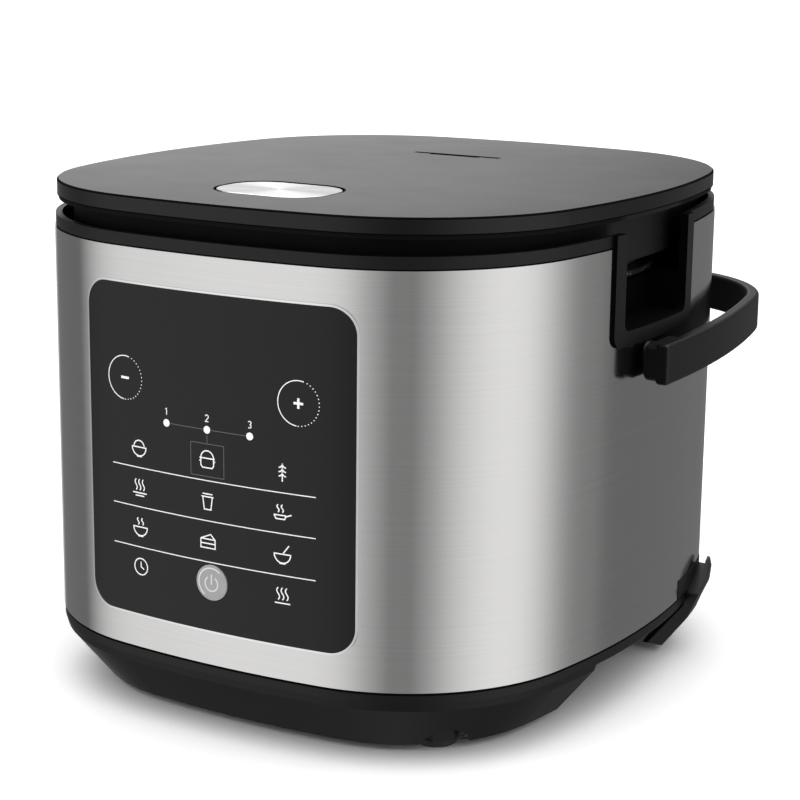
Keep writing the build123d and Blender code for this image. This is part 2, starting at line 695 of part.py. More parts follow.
def power_button():
    """Round push button with a flange behind the panel and a stem to its switch."""
    flange_r, flange_t = POWER_FLANGE
    flange_y = FRONT_Y - PANEL_GROW[1] + GAP
    tip = BOARD_FRONT - SWITCH_H - SWITCH_NIB - POWER_TRAVEL - GAP
    cap = rod(POWER_R, (0, POWER_FACE, POWER_Z), flange_y - POWER_FACE, "Y")
    cap = fillet(cap.edges().sort_by(Axis.Y)[0], POWER_EDGE)
    cap += rod(flange_r, (0, flange_y, POWER_Z), flange_t, "Y")
    return cap + rod(POWER_STEM_R, (0, flange_y, POWER_Z), tip - flange_y, "Y")


def cooking_chamber():
    """Metal well that holds the pot, hung by its flange on the collar's deck."""
    flange_r, flange_t = CHAMBER_FLANGE
    inner_r = CHAMBER_R - CHAMBER_T
    well = tube(CHAMBER_R, inner_r, CHAMBER_Z, DECK_TOP + flange_t)
    well += tube(flange_r, inner_r, DECK_TOP, DECK_TOP + flange_t)
    well += tube(CHAMBER_R, SENSOR_HOLE_R, CHAMBER_Z, CHAMBER_Z + CHAMBER_T)
    for side in (1, -1):
        x = sorted((side * TRAY_X, side * POT_FLANGE_R))
        well -= block(x, recess_span(WALL), (DECK_TOP, DECK_TOP + flange_t))
    for x, y in heater_ends():
        well -= rod(HEATER_WIRE_R + HEATER_HOLE_GAP, (x, y, CHAMBER_Z), CHAMBER_T)
    return well


def heater_ends():
    """Plan points of the heater's two terminals, one at each end of its loop."""
    half_gap = math.radians(HEATER_GAP / 2)
    y = HEATER_R * math.cos(half_gap)
    x = HEATER_R * math.sin(half_gap)
    return (x, y), (-x, y)


def heater_loop():
    """Open ring of tubular heater under the plate."""
    section = Plane.XZ * (Pos(HEATER_R, PLATE_Z) * Circle(HEATER_WIRE_R))
    start = 90 + HEATER_GAP / 2
    return Rot(0, 0, start) * revolve(section, Axis.Z, HEATER_ARC)


def heater_element():
    """Heater ring with two terminals down through the chamber's floor."""
    element = heater_loop()
    for x, y in heater_ends():
        element += rod(HEATER_WIRE_R, (x, y, HEATER_END_Z), PLATE_Z - HEATER_END_Z)
        element += Pos(x, y, PLATE_Z) * Sphere(HEATER_WIRE_R)
    return element


def heating_plate():
    """Cast plate under the pot on three legs, with the heater half sunk into it."""
    plate = tube(PLATE_R, SENSOR_HOLE_R, PLATE_Z, POT_Z)
    plate = chamfer(plate.edges().group_by(Axis.Z)[-1].sort_by(SortBy.RADIUS)[-1], PLATE_EDGE)
    floor = CHAMBER_Z + CHAMBER_T
    for i in range(PLATE_LEGS):
        leg = rod(PLATE_LEG_R, (0, -PLATE_LEG_AT, floor), PLATE_Z - floor)
        plate += Rot(0, 0, 360 * i / PLATE_LEGS) * leg
    return plate - heater_element()


def inner_pot():
    """Pot with a rounded bottom and a wide lifting flange."""
    rim = DECK_TOP + CHAMBER_FLANGE[1]
    outside = rod(POT_R, (0, 0, POT_Z), rim + POT_T - POT_Z)
    outside = fillet(outside.edges().sort_by(Axis.Z)[0], POT_CORNER)
    inside = rod(POT_R - POT_T, (0, 0, POT_Z + POT_T), rim - POT_Z)
    inside = fillet(inside.edges().sort_by(Axis.Z)[0], POT_CORNER - POT_T)
    return outside + rod(POT_FLANGE_R, (0, 0, rim), POT_T) - inside


def sensor_bracket():
    """Flanged guide under the chamber's floor for the sensor's stem."""
    flange_r, flange_t = GUIDE_FLANGE
    bore = SENSOR_STEM_R + SENSOR_FIT
    guide = tube(GUIDE_R, bore, GUIDE_Z, CHAMBER_Z)
    return guide + tube(flange_r, bore, CHAMBER_Z - flange_t, CHAMBER_Z)


def sensor_plunger():
    """Sprung temperature sensor that presses on the pot, with a clip on its stem."""
    cap = rod(SENSOR_CAP_R, (0, 0, SENSOR_CAP_Z), POT_Z - GAP - SENSOR_CAP_Z)
    cap = fillet(cap.edges().sort_by(Axis.Z)[-1], SENSOR_EDGE)
    clip_r, clip_t = SENSOR_CLIP
    stem = rod(SENSOR_STEM_R, (0, 0, SENSOR_END_Z), SENSOR_CAP_Z - SENSOR_END_Z)
    return cap + stem + rod(clip_r, (0, 0, SENSOR_END_Z + clip_t), clip_t)


def sensor_spring():
    """Coil between the bracket and the sensor's cap."""
    lift = CHAMBER_Z + SENSOR_COIL[1] + COIL_SEAT
    return Pos(0, 0, lift) * coil("sensor_spring", SENSOR_COIL)


def thermal_fuse():
    """Safety fuse in a clip under the heating plate."""
    z = PLATE_Z - FUSE_R
    fuse = rod(FUSE_R, (-FUSE_L / 2, -FUSE_AT, z), FUSE_L, "X")
    clip_y = (-FUSE_AT - 2 * FUSE_R, -FUSE_AT + 2 * FUSE_R)
    return fuse + block((-FUSE_CLIP_W / 2, FUSE_CLIP_W / 2), clip_y, (z, PLATE_Z))


def on_board(size):
    """Component of a given plan and height on the power board."""
    x, y, height = size
    top = POWER_BOARD[2] + BOARD_T
    return block(x, y, (top, top + height))


def power_board():
    """Mains circuit board on posts in the base."""
    x, y, low = POWER_BOARD
    return block(x, y, (low, low + BOARD_T))


def power_inlet():
    """Mains socket in the back wall with a rim outside the steel."""
    rim_z = (INLET_Z[0] - INLET_RIM, INLET_Z[1] + INLET_RIM)
    back = (INLET_BACK, BIG / 2)
    rim = end_block(2 * (INLET_HALF_W + INLET_RIM), rim_z, INLET_RIM, back)
    rim &= BODY.ring(INLET_RIM_GROW, 0, *rim_z)
    body = block((-INLET_HALF_W, INLET_HALF_W), back, INLET_Z)
    body &= BODY.prism(INLET_RIM_GROW, *INLET_Z)
    socket = end_block(2 * SOCKET_HALF_W, SOCKET_Z, INLET_RIM, (SOCKET_FLOOR, BIG / 2))
    return rim + body - socket - inlet_pins()


def inlet_pins():
    """Three contact blades in the socket."""
    width, height = PIN_SIZE
    middle = (SOCKET_Z[0] + SOCKET_Z[1]) / 2
    pins = Part()
    for x in PIN_X:
        z = (middle - height / 2, middle + height / 2)
        pins += block((x - width / 2, x + width / 2), (PIN_TAIL, PIN_TIP), z)
    return pins


def hinge_screws():
    """Two screws that hold the hinge bracket down on the deck."""
    y = (BRACKET_Y + BODY.half_d + COLLAR_GROW - COLLAR_T) / 2
    length = BRACKET_TOP - DECK_Z
    return both_sides(screw(SMALL_SCREW, length, (HINGE_SCREW_X, y, BRACKET_TOP), Rot(180, 0, 0)))


def hinge_bracket():
    """Bracket on the deck with two lugs for the pin, and a shield that hides its spring from behind."""
    wall_y = BODY.half_d + COLLAR_GROW - COLLAR_T
    width = LUG_X[1]
    bracket = block((-width, width), (BRACKET_Y, BIG / 2), (DECK_TOP, BRACKET_TOP))
    bracket &= BODY.prism(COLLAR_GROW - COLLAR_T, DECK_TOP, BRACKET_TOP)
    cover_z = (HINGE_STEEL_Z, HINGE_COVER_TOP)
    half = HINGE_NOTCH_W
    bracket += block((-half, half), (INLET_BACK, BIG / 2), cover_z) & BODY.ring(0, -WALL, *cover_z)
    shield_z = (HINGE_STEEL_Z, SHIELD_TOP)
    half = KNUCKLE_X[0] - SHIELD_GAP
    shield = BODY.ring(SHIELD_GROW[0], SHIELD_GROW[1], *shield_z)
    bracket += shield & block((-half, half), (INLET_BACK, BIG / 2), shield_z)
    for side in (1, -1):
        x = sorted(side * edge for edge in LUG_X)
        lug = block(x, (BRACKET_Y, wall_y), (BRACKET_TOP, HINGE_Z))
        lug &= BODY.prism(COLLAR_GROW - COLLAR_T, BRACKET_TOP, HINGE_Z)
        lug += block(x, (HINGE_Y, HINGE_Y + BARREL_R), (HINGE_STEEL_Z, HINGE_Z))
        bracket += lug + rod(BARREL_R, (x[0], HINGE_Y, HINGE_Z), x[1] - x[0], "X")
    return bracket - hinge_pin() - hinge_screws()


def hinge_pin():
    """Steel pin through the bracket's lugs and the lid's knuckles."""
    length = 2 * (LUG_X[1] + HINGE_PIN_END)
    return rod(HINGE_PIN_R, (-length / 2, HINGE_Y, HINGE_Z), length, "X")


def hinge_spring():
    """Coil round the hinge pin that lifts the lid."""
    length = HINGE_COIL[2] * HINGE_COIL[3]
    return Pos(-length / 2, HINGE_Y, HINGE_Z) * Rot(0, 90, 0) * coil("hinge_spring", HINGE_COIL)


def latch_strike():
    """Catch plate inside the front of the collar."""
    half = STRIKE_HALF_W
    strike = block((-half, half), (-BIG / 2, STRIKE_Y), STRIKE_Z)
    return strike & BODY.prism(COLLAR_GROW - COLLAR_T, *STRIKE_Z)


def lid_shell():
    """Domed top of the lid with openings for the button and the steam, and screw posts inside."""
    shell = BODY.loft(LID_LEVELS) - BODY.prism(LID_GROW - LID_WALL, LID_Z, LID_ROOF)
    width, depth = (side + 2 * BUTTON_GAP for side in BUTTON_SIZE)
    shell -= top_block((width, depth), BUTTON_CORNER + BUTTON_GAP, BUTTON_Y, (LID_Z, LID_Z + BIG))
    mouth_w, mouth_d = VENT_MOUTH
    far = VALVE_Y + VENT_W / 2
    for half, deep in ((VENT_HALF_W, VENT_W), (mouth_w, mouth_d)):
        shell -= block((-half, half), (far - deep, far), (LID_Z, LID_Z + BIG))
    low = LINER_Z + WALL
    shell += four_corners(rod(LID_POST_R, (LID_SCREW_X, LID_SCREW_Y, low), LID_ROOF + MERGE - low))
    return shell - lid_screws()


def lid_screws():
    """Four screws up through the liner into the lid's posts."""
    return four_corners(screw(SCREW, LID_SCREW_L, (LID_SCREW_X, LID_SCREW_Y, LINER_Z)))


def lid_liner():
    """Tray under the lid that nests inside the collar, with the hinge knuckles at its back."""
    out, inner, thick = LINER_RIM
    rim = BODY.ring(out, inner, LID_Z - thick, LID_Z)
    liner = rim + BODY.ring(LINER_GROW, LINER_GROW - WALL, LINER_Z, LID_Z - thick)
    floor = LINER_Z + WALL
    liner += BODY.prism(LINER_GROW, LINER_Z, floor)
    liner += rod(BOSS_R, (0, BUTTON_Y, LINER_Z), BOSS_TOP - LINER_Z)
    bore = (0, BUTTON_Y, LINER_Z + BOSS_FLOOR)
    liner -= rod(BUTTON_POST_R + BUTTON_FIT, bore, BOSS_TOP - LINER_Z)
    slot_x = LATCH_HALF_W + GAP
    slot_y = (FRONT_Y, LATCH_Y[0] + 2 * WALL + BUTTON_TRAVEL)
    liner -= block((-slot_x, slot_x), slot_y, (LATCH_Z[0] - GAP, LATCH_Z[1] + GAP))
    liner -= rod(VALVE_HOLE_R, (0, VALVE_Y, LINER_Z), WALL)
    for side in (1, -1):
        x = sorted(side * edge for edge in KNUCKLE_X)
        arm = block(x, (BRACKET_Y, HINGE_Y + ARM_BACK), (HINGE_Z, LID_Z - thick))
        liner += arm + rod(BARREL_R, (x[0], HINGE_Y, HINGE_Z), x[1] - x[0], "X")
        liner -= rod(HINGE_PIN_R + HINGE_FIT, (x[0], HINGE_Y, HINGE_Z), x[1] - x[0], "X")
    return liner - lid_screws()


def inner_lid():
    """Metal disc under the liner with a ring of steam holes."""
    disc = rod(INNER_LID_R, (0, 0, INNER_LID_Z), INNER_LID_T)
    disc += rod(INNER_LID_POST_R, (0, 0, INNER_LID_Z), LINER_Z - INNER_LID_Z)
    for i in range(STEAM_HOLES):
        hole = rod(STEAM_HOLE_R, (STEAM_RING_R, 0, INNER_LID_Z), INNER_LID_T)
        disc -= Rot(0, 0, 360 * i / STEAM_HOLES) * hole
    return disc


def inner_lid_gasket():
    """Rubber ring round the inner lid that seals on the pot's flange."""
    ring = tube(GASKET_R[1], GASKET_R[0], *GASKET_Z)
    return ring - rod(INNER_LID_R, (0, 0, INNER_LID_Z), INNER_LID_T)


def steam_valve():
    """Box under the steam slot that leads the steam from the pot to the top."""
    half_w, half_d = VALVE_HALF
    z = (LINER_Z + WALL, LID_ROOF)
    cup = block((-half_w, half_w), (VALVE_Y - half_d, VALVE_Y + half_d), z)
    room_x = half_w - WALL
    room_y = (VALVE_Y - half_d + WALL, VALVE_Y + half_d - WALL)
    cup -= block((-room_x, room_x), room_y, (z[0] + WALL, z[1]))
    return cup - rod(VALVE_HOLE_R, (0, VALVE_Y, z[0]), WALL)


def lid_button():
    """Wide release button with a flange under the lid, a guide post and a wedge for the latch."""
    low, high = BUTTON_FLANGE
    cap = top_block(BUTTON_SIZE, BUTTON_CORNER, BUTTON_Y, (high, BUTTON_TOP))
    cap = fillet(cap.edges().group_by(Axis.Z)[-1], BUTTON_EDGE)
    lip = [side + 2 * BUTTON_LIP for side in BUTTON_SIZE]
    cap += top_block(lip, BUTTON_CORNER + BUTTON_LIP, BUTTON_Y, BUTTON_FLANGE)
    cap += rod(BUTTON_POST_R, (0, BUTTON_Y, BUTTON_POST_Z), low - BUTTON_POST_Z)
    y0, y1 = RAMP_Y
    raised = RAMP_Z + RAMP_GAP * math.sqrt(2)
    corners = [(y0, low), (y0, raised), (y1, raised + y1 - y0), (y1, low)]
    return cap + ramp_prism(corners)


def ramp_prism(corners):
    """Prism across the middle of the latch from (y, z) corners."""
    outline = Plane.YZ * make_face(Polyline(*corners, close=True))
    return extrude(outline, RAMP_HALF_W, both=True)


def latch_hook():
    """Sliding latch with a nose at the front and a slope that the button's wedge pushes back."""
    plate = block((-LATCH_HALF_W, LATCH_HALF_W), LATCH_Y, LATCH_Z)
    y0, y1 = RAMP_Y
    top_y = y0 + RAMP_TOP - RAMP_Z
    slope = [(y0, RAMP_Z), (top_y, RAMP_TOP), (y1, RAMP_TOP)]
    return plate + ramp_prism([(y0, LATCH_Z[0]), *slope, (y1, LATCH_Z[0])])


def button_spring():
    """Coil round the button's post."""
    lift = BOSS_TOP + BUTTON_COIL[1] + COIL_SEAT
    return Pos(0, BUTTON_Y, lift) * coil("button_spring", BUTTON_COIL)


def stop_groove(side):
    """Arc groove in the handle's inner face for the pivot's stop pin, as long as the swing."""
    spare = math.degrees(STOP_GAP / STOP_AT)
    arc = CenterArc((0, 0), STOP_AT, -90 - SWING - spare, SWING + 2 * spare)
    slot = SlotArc(arc, 2 * (STOP_R + STOP_GAP))
    plane = Plane((side * PIVOT_BOSS_X, PIVOT_Y, PIVOT_Z), x_dir=(0, 1, 0), z_dir=(1, 0, 0))
    return extrude(plane * slot, side * (STOP_L + STOP_GAP), dir=(1, 0, 0))


def handle_pivots():
    """Bosses on the side walls with a journal for the handle, a stop pin and a stud through the wall."""
    reach = PIVOT_BOSS_X
    pivot = rod(PIVOT_BOSS_R, (reach - PIVOT_BOSS_L, PIVOT_Y, PIVOT_Z), PIVOT_BOSS_L, "X")
    pivot -= BODY.prism(0, PIVOT_Z - PIVOT_BOSS_R, PIVOT_Z + PIVOT_BOSS_R)
    pivot += rod(STUD_R, (STUD_X, PIVOT_Y, PIVOT_Z), reach - STUD_X, "X")
    pivot += rod(JOURNAL_R, (reach, PIVOT_Y, PIVOT_Z), JOURNAL_L, "X")
    pivot += rod(STOP_R, (reach, PIVOT_Y, PIVOT_Z - STOP_AT), STOP_L, "X")
    return both_sides(pivot)


def pivot_nuts():
    """Nuts on the pivots' studs inside the walls."""
    start = STUD_X + STUD_END
    plane = Plane((start, PIVOT_Y, PIVOT_Z), x_dir=(0, 1, 0), z_dir=(1, 0, 0))
    nut = extrude(plane * RegularPolygon(NUT_R, 6), BODY.half_w - start, dir=(1, 0, 0))
    nut &= BODY.prism(-STEEL_T, PIVOT_Z - NUT_R, PIVOT_Z + NUT_R)
    return both_sides(nut - rod(STUD_R, (STUD_X, PIVOT_Y, PIVOT_Z), BODY.half_w - STUD_X, "X"))


def carry_handle():
    """Strap folded back round the body, with a hub and a blind bore for a pivot at each end."""
    z = (PIVOT_Z - HANDLE_H / 2, PIVOT_Z + HANDLE_H / 2)
    strap = HANDLE.ring(0, -HANDLE_T, *z)
    strap &= block((-BIG / 2, BIG / 2), (HANDLE_END_Y, BIG / 2), z)
    ends = strap.edges().filter_by(Axis.Z).group_by(Axis.Y)[0]
    strap = fillet(ends, HANDLE_TIP_R)
    level = strap.edges().filter_by(lambda edge: edge.bounding_box().size.Z < HANDLE_EDGE)
    strap = fillet(level, HANDLE_EDGE)
    hub_z = (PIVOT_Z - HUB_H / 2, PIVOT_Z + HUB_H / 2)
    width = 2 * (PIVOT_Y - HANDLE_END_Y)
    hub = side_block(width, hub_z, HUB_CORNER, (HUB_X, HANDLE.half_w - HANDLE_T / 2))
    hub = fillet(hub.edges().group_by(Axis.X)[0], HUB_EDGE)
    strap += both_sides(Pos(0, PIVOT_Y, 0) * hub)
    depth = JOURNAL_L + GAP
    for side in (1, -1):
        inner = PIVOT_BOSS_X if side > 0 else -PIVOT_BOSS_X - depth
        strap -= rod(JOURNAL_R + JOURNAL_FIT, (inner, PIVOT_Y, PIVOT_Z), depth, "X")
        strap -= stop_groove(side)
    return strap


PARTS = {
    "base_pan": base_pan,
    "bottom_plate": bottom_plate,
    "rubber_feet": rubber_feet,
    "base_screws": base_screws,
    "cord_hooks": cord_hooks,
    "body_wrap": body_wrap,
    "collar": collar,
    "side_bezel_right": lambda: side_bezel(1),
    "side_bezel_left": lambda: side_bezel(-1),
    "control_panel": control_panel,
    "panel_trim": panel_trim,
    "panel_carrier": panel_carrier,
    "control_board": control_board,
    "panel_screws": panel_screws,
    "display_module": display_module,
    "indicator_leds": indicator_leds,
    "power_switch": power_switch,
    "power_button": power_button,
    "cooking_chamber": cooking_chamber,
    "heating_plate": heating_plate,
    "heater_element": heater_element,
    "inner_pot": inner_pot,
    "sensor_bracket": sensor_bracket,
    "sensor_plunger": sensor_plunger,
    "sensor_spring": sensor_spring,
    "thermal_fuse": thermal_fuse,
    "power_board": power_board,
    "transformer": lambda: on_board(TRANSFORMER),
    "relay": lambda: on_board(RELAY),
    "power_inlet": power_inlet,
    "inlet_pins": inlet_pins,
    "hinge_bracket": hinge_bracket,
    "hinge_pin": hinge_pin,
    "hinge_spring": hinge_spring,
    "hinge_screws": hinge_screws,
    "latch_strike": latch_strike,
    "lid_shell": lid_shell,
    "lid_liner": lid_liner,
    "lid_screws": lid_screws,
    "inner_lid": inner_lid,
    "inner_lid_gasket": inner_lid_gasket,
    "steam_valve": steam_valve,
    "lid_button": lid_button,
    "button_spring": button_spring,
    "latch_hook": latch_hook,
    "handle_pivots": handle_pivots,
    "pivot_nuts": pivot_nuts,
    "carry_handle": carry_handle,
}

os.makedirs("parts", exist_ok=True)
for name, make in PARTS.items():
    export_step(Pos(0, SHIFT_Y, 0) * make(), f"parts/{name}.step")
print(f"moved by {SHIFT_Y:.2f} mm along Y")
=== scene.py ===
"""Looks of a rice cooker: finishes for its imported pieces, printed panel marks and a plain studio."""

import logging
import math
from dataclasses import dataclass
from enum import Enum
from functools import cached_property
from typing import Any, Callable, ClassVar, Iterable, Optional, Sequence, Union

import bmesh
import bpy
from mathutils import Matrix, Vector


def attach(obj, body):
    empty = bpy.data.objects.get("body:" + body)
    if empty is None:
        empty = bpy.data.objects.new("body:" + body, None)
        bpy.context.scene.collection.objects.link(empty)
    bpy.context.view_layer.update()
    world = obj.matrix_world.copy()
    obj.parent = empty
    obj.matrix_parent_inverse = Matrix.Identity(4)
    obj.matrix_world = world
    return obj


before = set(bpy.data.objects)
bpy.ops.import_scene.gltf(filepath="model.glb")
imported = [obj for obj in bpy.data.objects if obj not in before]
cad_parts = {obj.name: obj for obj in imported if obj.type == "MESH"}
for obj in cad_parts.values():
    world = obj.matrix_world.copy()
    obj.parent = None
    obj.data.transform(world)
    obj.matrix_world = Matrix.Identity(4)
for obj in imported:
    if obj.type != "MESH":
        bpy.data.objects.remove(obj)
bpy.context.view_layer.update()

Colour = tuple[float, float, float]
Point2 = tuple[float, float]
Point3 = tuple[float, float, float]
Span = tuple[float, float]
Stroke = list[Point2]

LOG = logging.getLogger("rice_cooker")
MM = 0.001
SHIFT_Y = -15.3  # the body's middle in the row frame, in millimetres
BUTTON_AT: Point2 = (0.0, -101.5 + SHIFT_Y)  # the lid button's middle, in millimetres
BLACK: Colour = (0.0016, 0.0016, 0.0017)


def wire_operator(operation: str, swapped: bool = False) -> Callable[["Wire", Any], "Wire"]:
    """Makes the method of one operator between wires and numbers.

    Args:
        operation: Blender's name of the Math node's operation.
        swapped: Whether the wire stands on the right.

    Returns:
        The method, which adds one Math node.
    """

    def method(wire: "Wire", other: Any) -> "Wire":
        """Joins a wire with a number or another wire."""
        return wire.maths(operation, other, wire) if swapped else wire.maths(operation, wire, other)

    return method


class Wire:
    """One output of a shader node that takes part in sums, products and powers."""

    def __init__(self, graph: "Graph", output: Optional[bpy.types.NodeSocket]) -> None:
        """Keeps the node graph and the node's output socket."""
        self.graph = graph
        self.output = output

    def maths(self, operation: str, first: Any, second: Any) -> "Wire":
        """Adds one Math node between numbers or wires."""
        return self.graph.node("ShaderNodeMath", {"operation": operation}, {0: first, 1: second})

    __add__, __radd__ = wire_operator("ADD"), wire_operator("ADD", swapped=True)
    __sub__, __rsub__ = wire_operator("SUBTRACT"), wire_operator("SUBTRACT", swapped=True)
    __mul__, __rmul__ = wire_operator("MULTIPLY"), wire_operator("MULTIPLY", swapped=True)
    __truediv__, __rtruediv__ = wire_operator("DIVIDE"), wire_operator("DIVIDE", swapped=True)
    __pow__, __rpow__ = wire_operator("POWER"), wire_operator("POWER", swapped=True)

    def above(self, limit: Any) -> "Wire":
        """1 where the value is over a limit, 0 elsewhere."""
        return self.maths("GREATER_THAN", self, limit)

    def within(self, limit: Any) -> "Wire":
        """1 where the value is nearer to 0 than a limit, 0 elsewhere."""
        return self.maths("LESS_THAN", self.maths("ABSOLUTE", self, 0.0), limit)

    def inside(self, span: Span) -> "Wire":
        """1 where the value lies between the two ends of a span, 0 elsewhere."""
        low, high = span
        return (self - (low + high) / 2).within((high - low) / 2)

    def either(self, other: "Wire") -> "Wire":
        """1 where this mask or another one is 1, 0 elsewhere."""
        return self.maths("MAXIMUM", self, other)


class Course(Enum):
    """How a step rises from 0 to 1."""

    even = "LINEAR"
    soft = "SMOOTHSTEP"


class Graph:
    """Node graph of one material or world."""

    def __init__(self, tree: bpy.types.NodeTree) -> None:
        """Takes over a node tree and empties it."""
        self.tree = tree
        tree.nodes.clear()

    def node(
        self,
        kind: str,
        settings: Optional[dict[str, Any]] = None,
        inputs: Optional[dict[Any, Any]] = None,
        out: Union[int, str] = 0,
    ) -> Wire:
        """Adds a node, sets it up and connects it.

        Args:
            kind: Blender's name of the node type.
            settings: Attributes to set first.
            inputs: Values or wires for the inputs, by name or index.
            out: Which output to return.

        Returns:
            The chosen output.
        """
        made = self.tree.nodes.new(kind)
        for name, value in (settings or {}).items():
            setattr(made, name, value)
        for name, value in (inputs or {}).items():
            socket = made.inputs[name]
            if isinstance(value, Wire):
                self.tree.links.new(value.output, socket)
            else:
                socket.default_value = value
        return Wire(self, made.outputs[out] if made.outputs else None)

    def vector(self, operation: str, *values: Any, out: Union[int, str] = 0) -> Wire:
        """Adds one Vector Math node; the values are vectors or wires in the node's order."""
        return self.node("ShaderNodeVectorMath", {"operation": operation}, dict(enumerate(values)), out)

    def less(self, vector: Wire, place: Sequence[float]) -> Wire:
        """Vector in metres, less a level place in millimetres."""
        return self.vector("SUBTRACT", vector, (place[0] * MM, place[1] * MM, 0.0))

    def place(self) -> Wire:
        """Row-frame position of the shaded point, in metres."""
        return self.node("ShaderNodeTexCoord", out="Object")

    def from_middle(self) -> Wire:
        """Position of the shaded point from the body's middle, in metres."""
        return self.less(self.place(), (0.0, SHIFT_Y))

    def facing(self) -> Wire:
        """Direction that the shaded face looks in, in its own piece's frame."""
        return self.node("ShaderNodeTexCoord", out="Normal")

    def part(self, vector: Wire, axis: str) -> Wire:
        """One coordinate of a vector: X, Y or Z."""
        return self.node("ShaderNodeSeparateXYZ", None, {0: vector}, axis)

    def flat(self, vector: Wire) -> Wire:
        """Vector without its height."""
        return self.vector("MULTIPLY", vector, (1.0, 1.0, 0.0))

    def unit(self, vector: Wire) -> Wire:
        """Vector of length 1 in the same direction."""
        return self.vector("NORMALIZE", vector)

    def length(self, vector: Wire) -> Wire:
        """Length of a vector."""
        return self.vector("LENGTH", vector, out="Value")

    def dot(self, first: Any, second: Any) -> Wire:
        """How far two vectors agree."""
        return self.vector("DOT_PRODUCT", first, second, out="Value")

    def choose(self, share: Any, first: Wire, second: Wire) -> Wire:
        """Vector between two vectors: a share of 0 gives the first, 1 the second."""
        return self.node("ShaderNodeMix", {"data_type": "VECTOR"}, {0: share, 4: first, 5: second}, 1)

    def mix(self, share: Any, first: Any, second: Any) -> Wire:
        """Colour between two colours or wires: a share of 0 gives the first, 1 the second."""
        inputs = {0: share, 6: rgba(first), 7: rgba(second)}
        return self.node("ShaderNodeMix", {"data_type": "RGBA"}, inputs, 2)

    def step(self, value: Wire, low: float, high: float, course: Course = Course.soft) -> Wire:
        """Step that is 0 up to a low value and 1 from a high value on."""
        inputs = {"Value": value, "From Min": low, "From Max": high}
        return self.node("ShaderNodeMapRange", {"interpolation_type": course.value}, inputs)

    def stretched(self, scale: Point3) -> Wire:
        """Row-frame position, scaled by a factor per metre along each axis."""
        inputs = {"Vector": self.place(), "Scale": scale}
        return self.node("ShaderNodeMapping", {"vector_type": "POINT"}, inputs)

    def noise(self, scale: Union[float, Point3], detail: float = 2.0) -> Wire:
        """Fractal noise in the row frame.

        Args:
            scale: Cells per metre, the same all round or one for each axis.
            detail: Octaves.

        Returns:
            Noise from 0 to 1.
        """
        each = scale if isinstance(scale, tuple) else (scale, scale, scale)
        inputs = {"Vector": self.stretched(each), "Scale": 1.0, "Detail": detail}
        return self.node("ShaderNodeTexNoise", None, inputs)

    def rings(self, reach: Wire) -> Wire:
        """Noise from 0 to 1 along one value, such as the distance from an axis."""
        inputs = {"W": reach, "Scale": 1.0, "Detail": 2.0}
        return self.node("ShaderNodeTexNoise", {"noise_dimensions": "1D"}, inputs)

    def bump(self, height: Wire, strength: float, depth: float, normal: Optional[Wire] = None) -> Wire:
        """Normal bent by a height.

        Args:
            height: Height from 0 to 1.
            strength: Share of the effect.
            depth: Height of 1, in metres.
            normal: Normal to start from, else the surface's own.

        Returns:
            The bent normal.
        """
        inputs: dict[Any, Any] = {"Strength": strength, "Distance": depth, "Height": height}
        if normal:
            inputs["Normal"] = normal
        return self.node("ShaderNodeBump", None, inputs)

    def surface(
        self, inputs: dict[str, Any], share: Any = 0.0, other: Optional[dict[str, Any]] = None
    ) -> None:
        """Ends the graph in one Principled shader, or in a mix of two.

        Args:
            inputs: Values and wires for the shader's inputs.
            share: Share of the other shader.
            other: Values and wires for the other shader, if there is one.
        """
        shader = self.node("ShaderNodeBsdfPrincipled", None, inputs)
        if other:
            second = self.node("ShaderNodeBsdfPrincipled", None, other)
            shader = self.node("ShaderNodeMixShader", None, {0: share, 1: shader, 2: second})
        self.node("ShaderNodeOutputMaterial", None, {"Surface": shader})


def rgba(colour: Any) -> Any:
    """Colour with an alpha of 1; a wire stays as it is."""
    return colour if isinstance(colour, Wire) else (*colour, 1.0)


def uneven(middle: float, *changes: tuple[Wire, float]) -> Any:
    """Value that varies evenly about its middle.

    Args:
        middle: The middle value.
        changes: Wires from 0 to 1, each with the span that it covers.

    Returns:
        The varying value.
    """
    total: Any = middle - sum(span for _, span in changes) / 2
    for wire, span in changes:
        total = wire * span + total
    return total


def blended(first: Wire, second: Wire, share: float) -> Wire:
    """Two wires added up, with a share of the second."""
    return first * (1.0 - share) + second * share


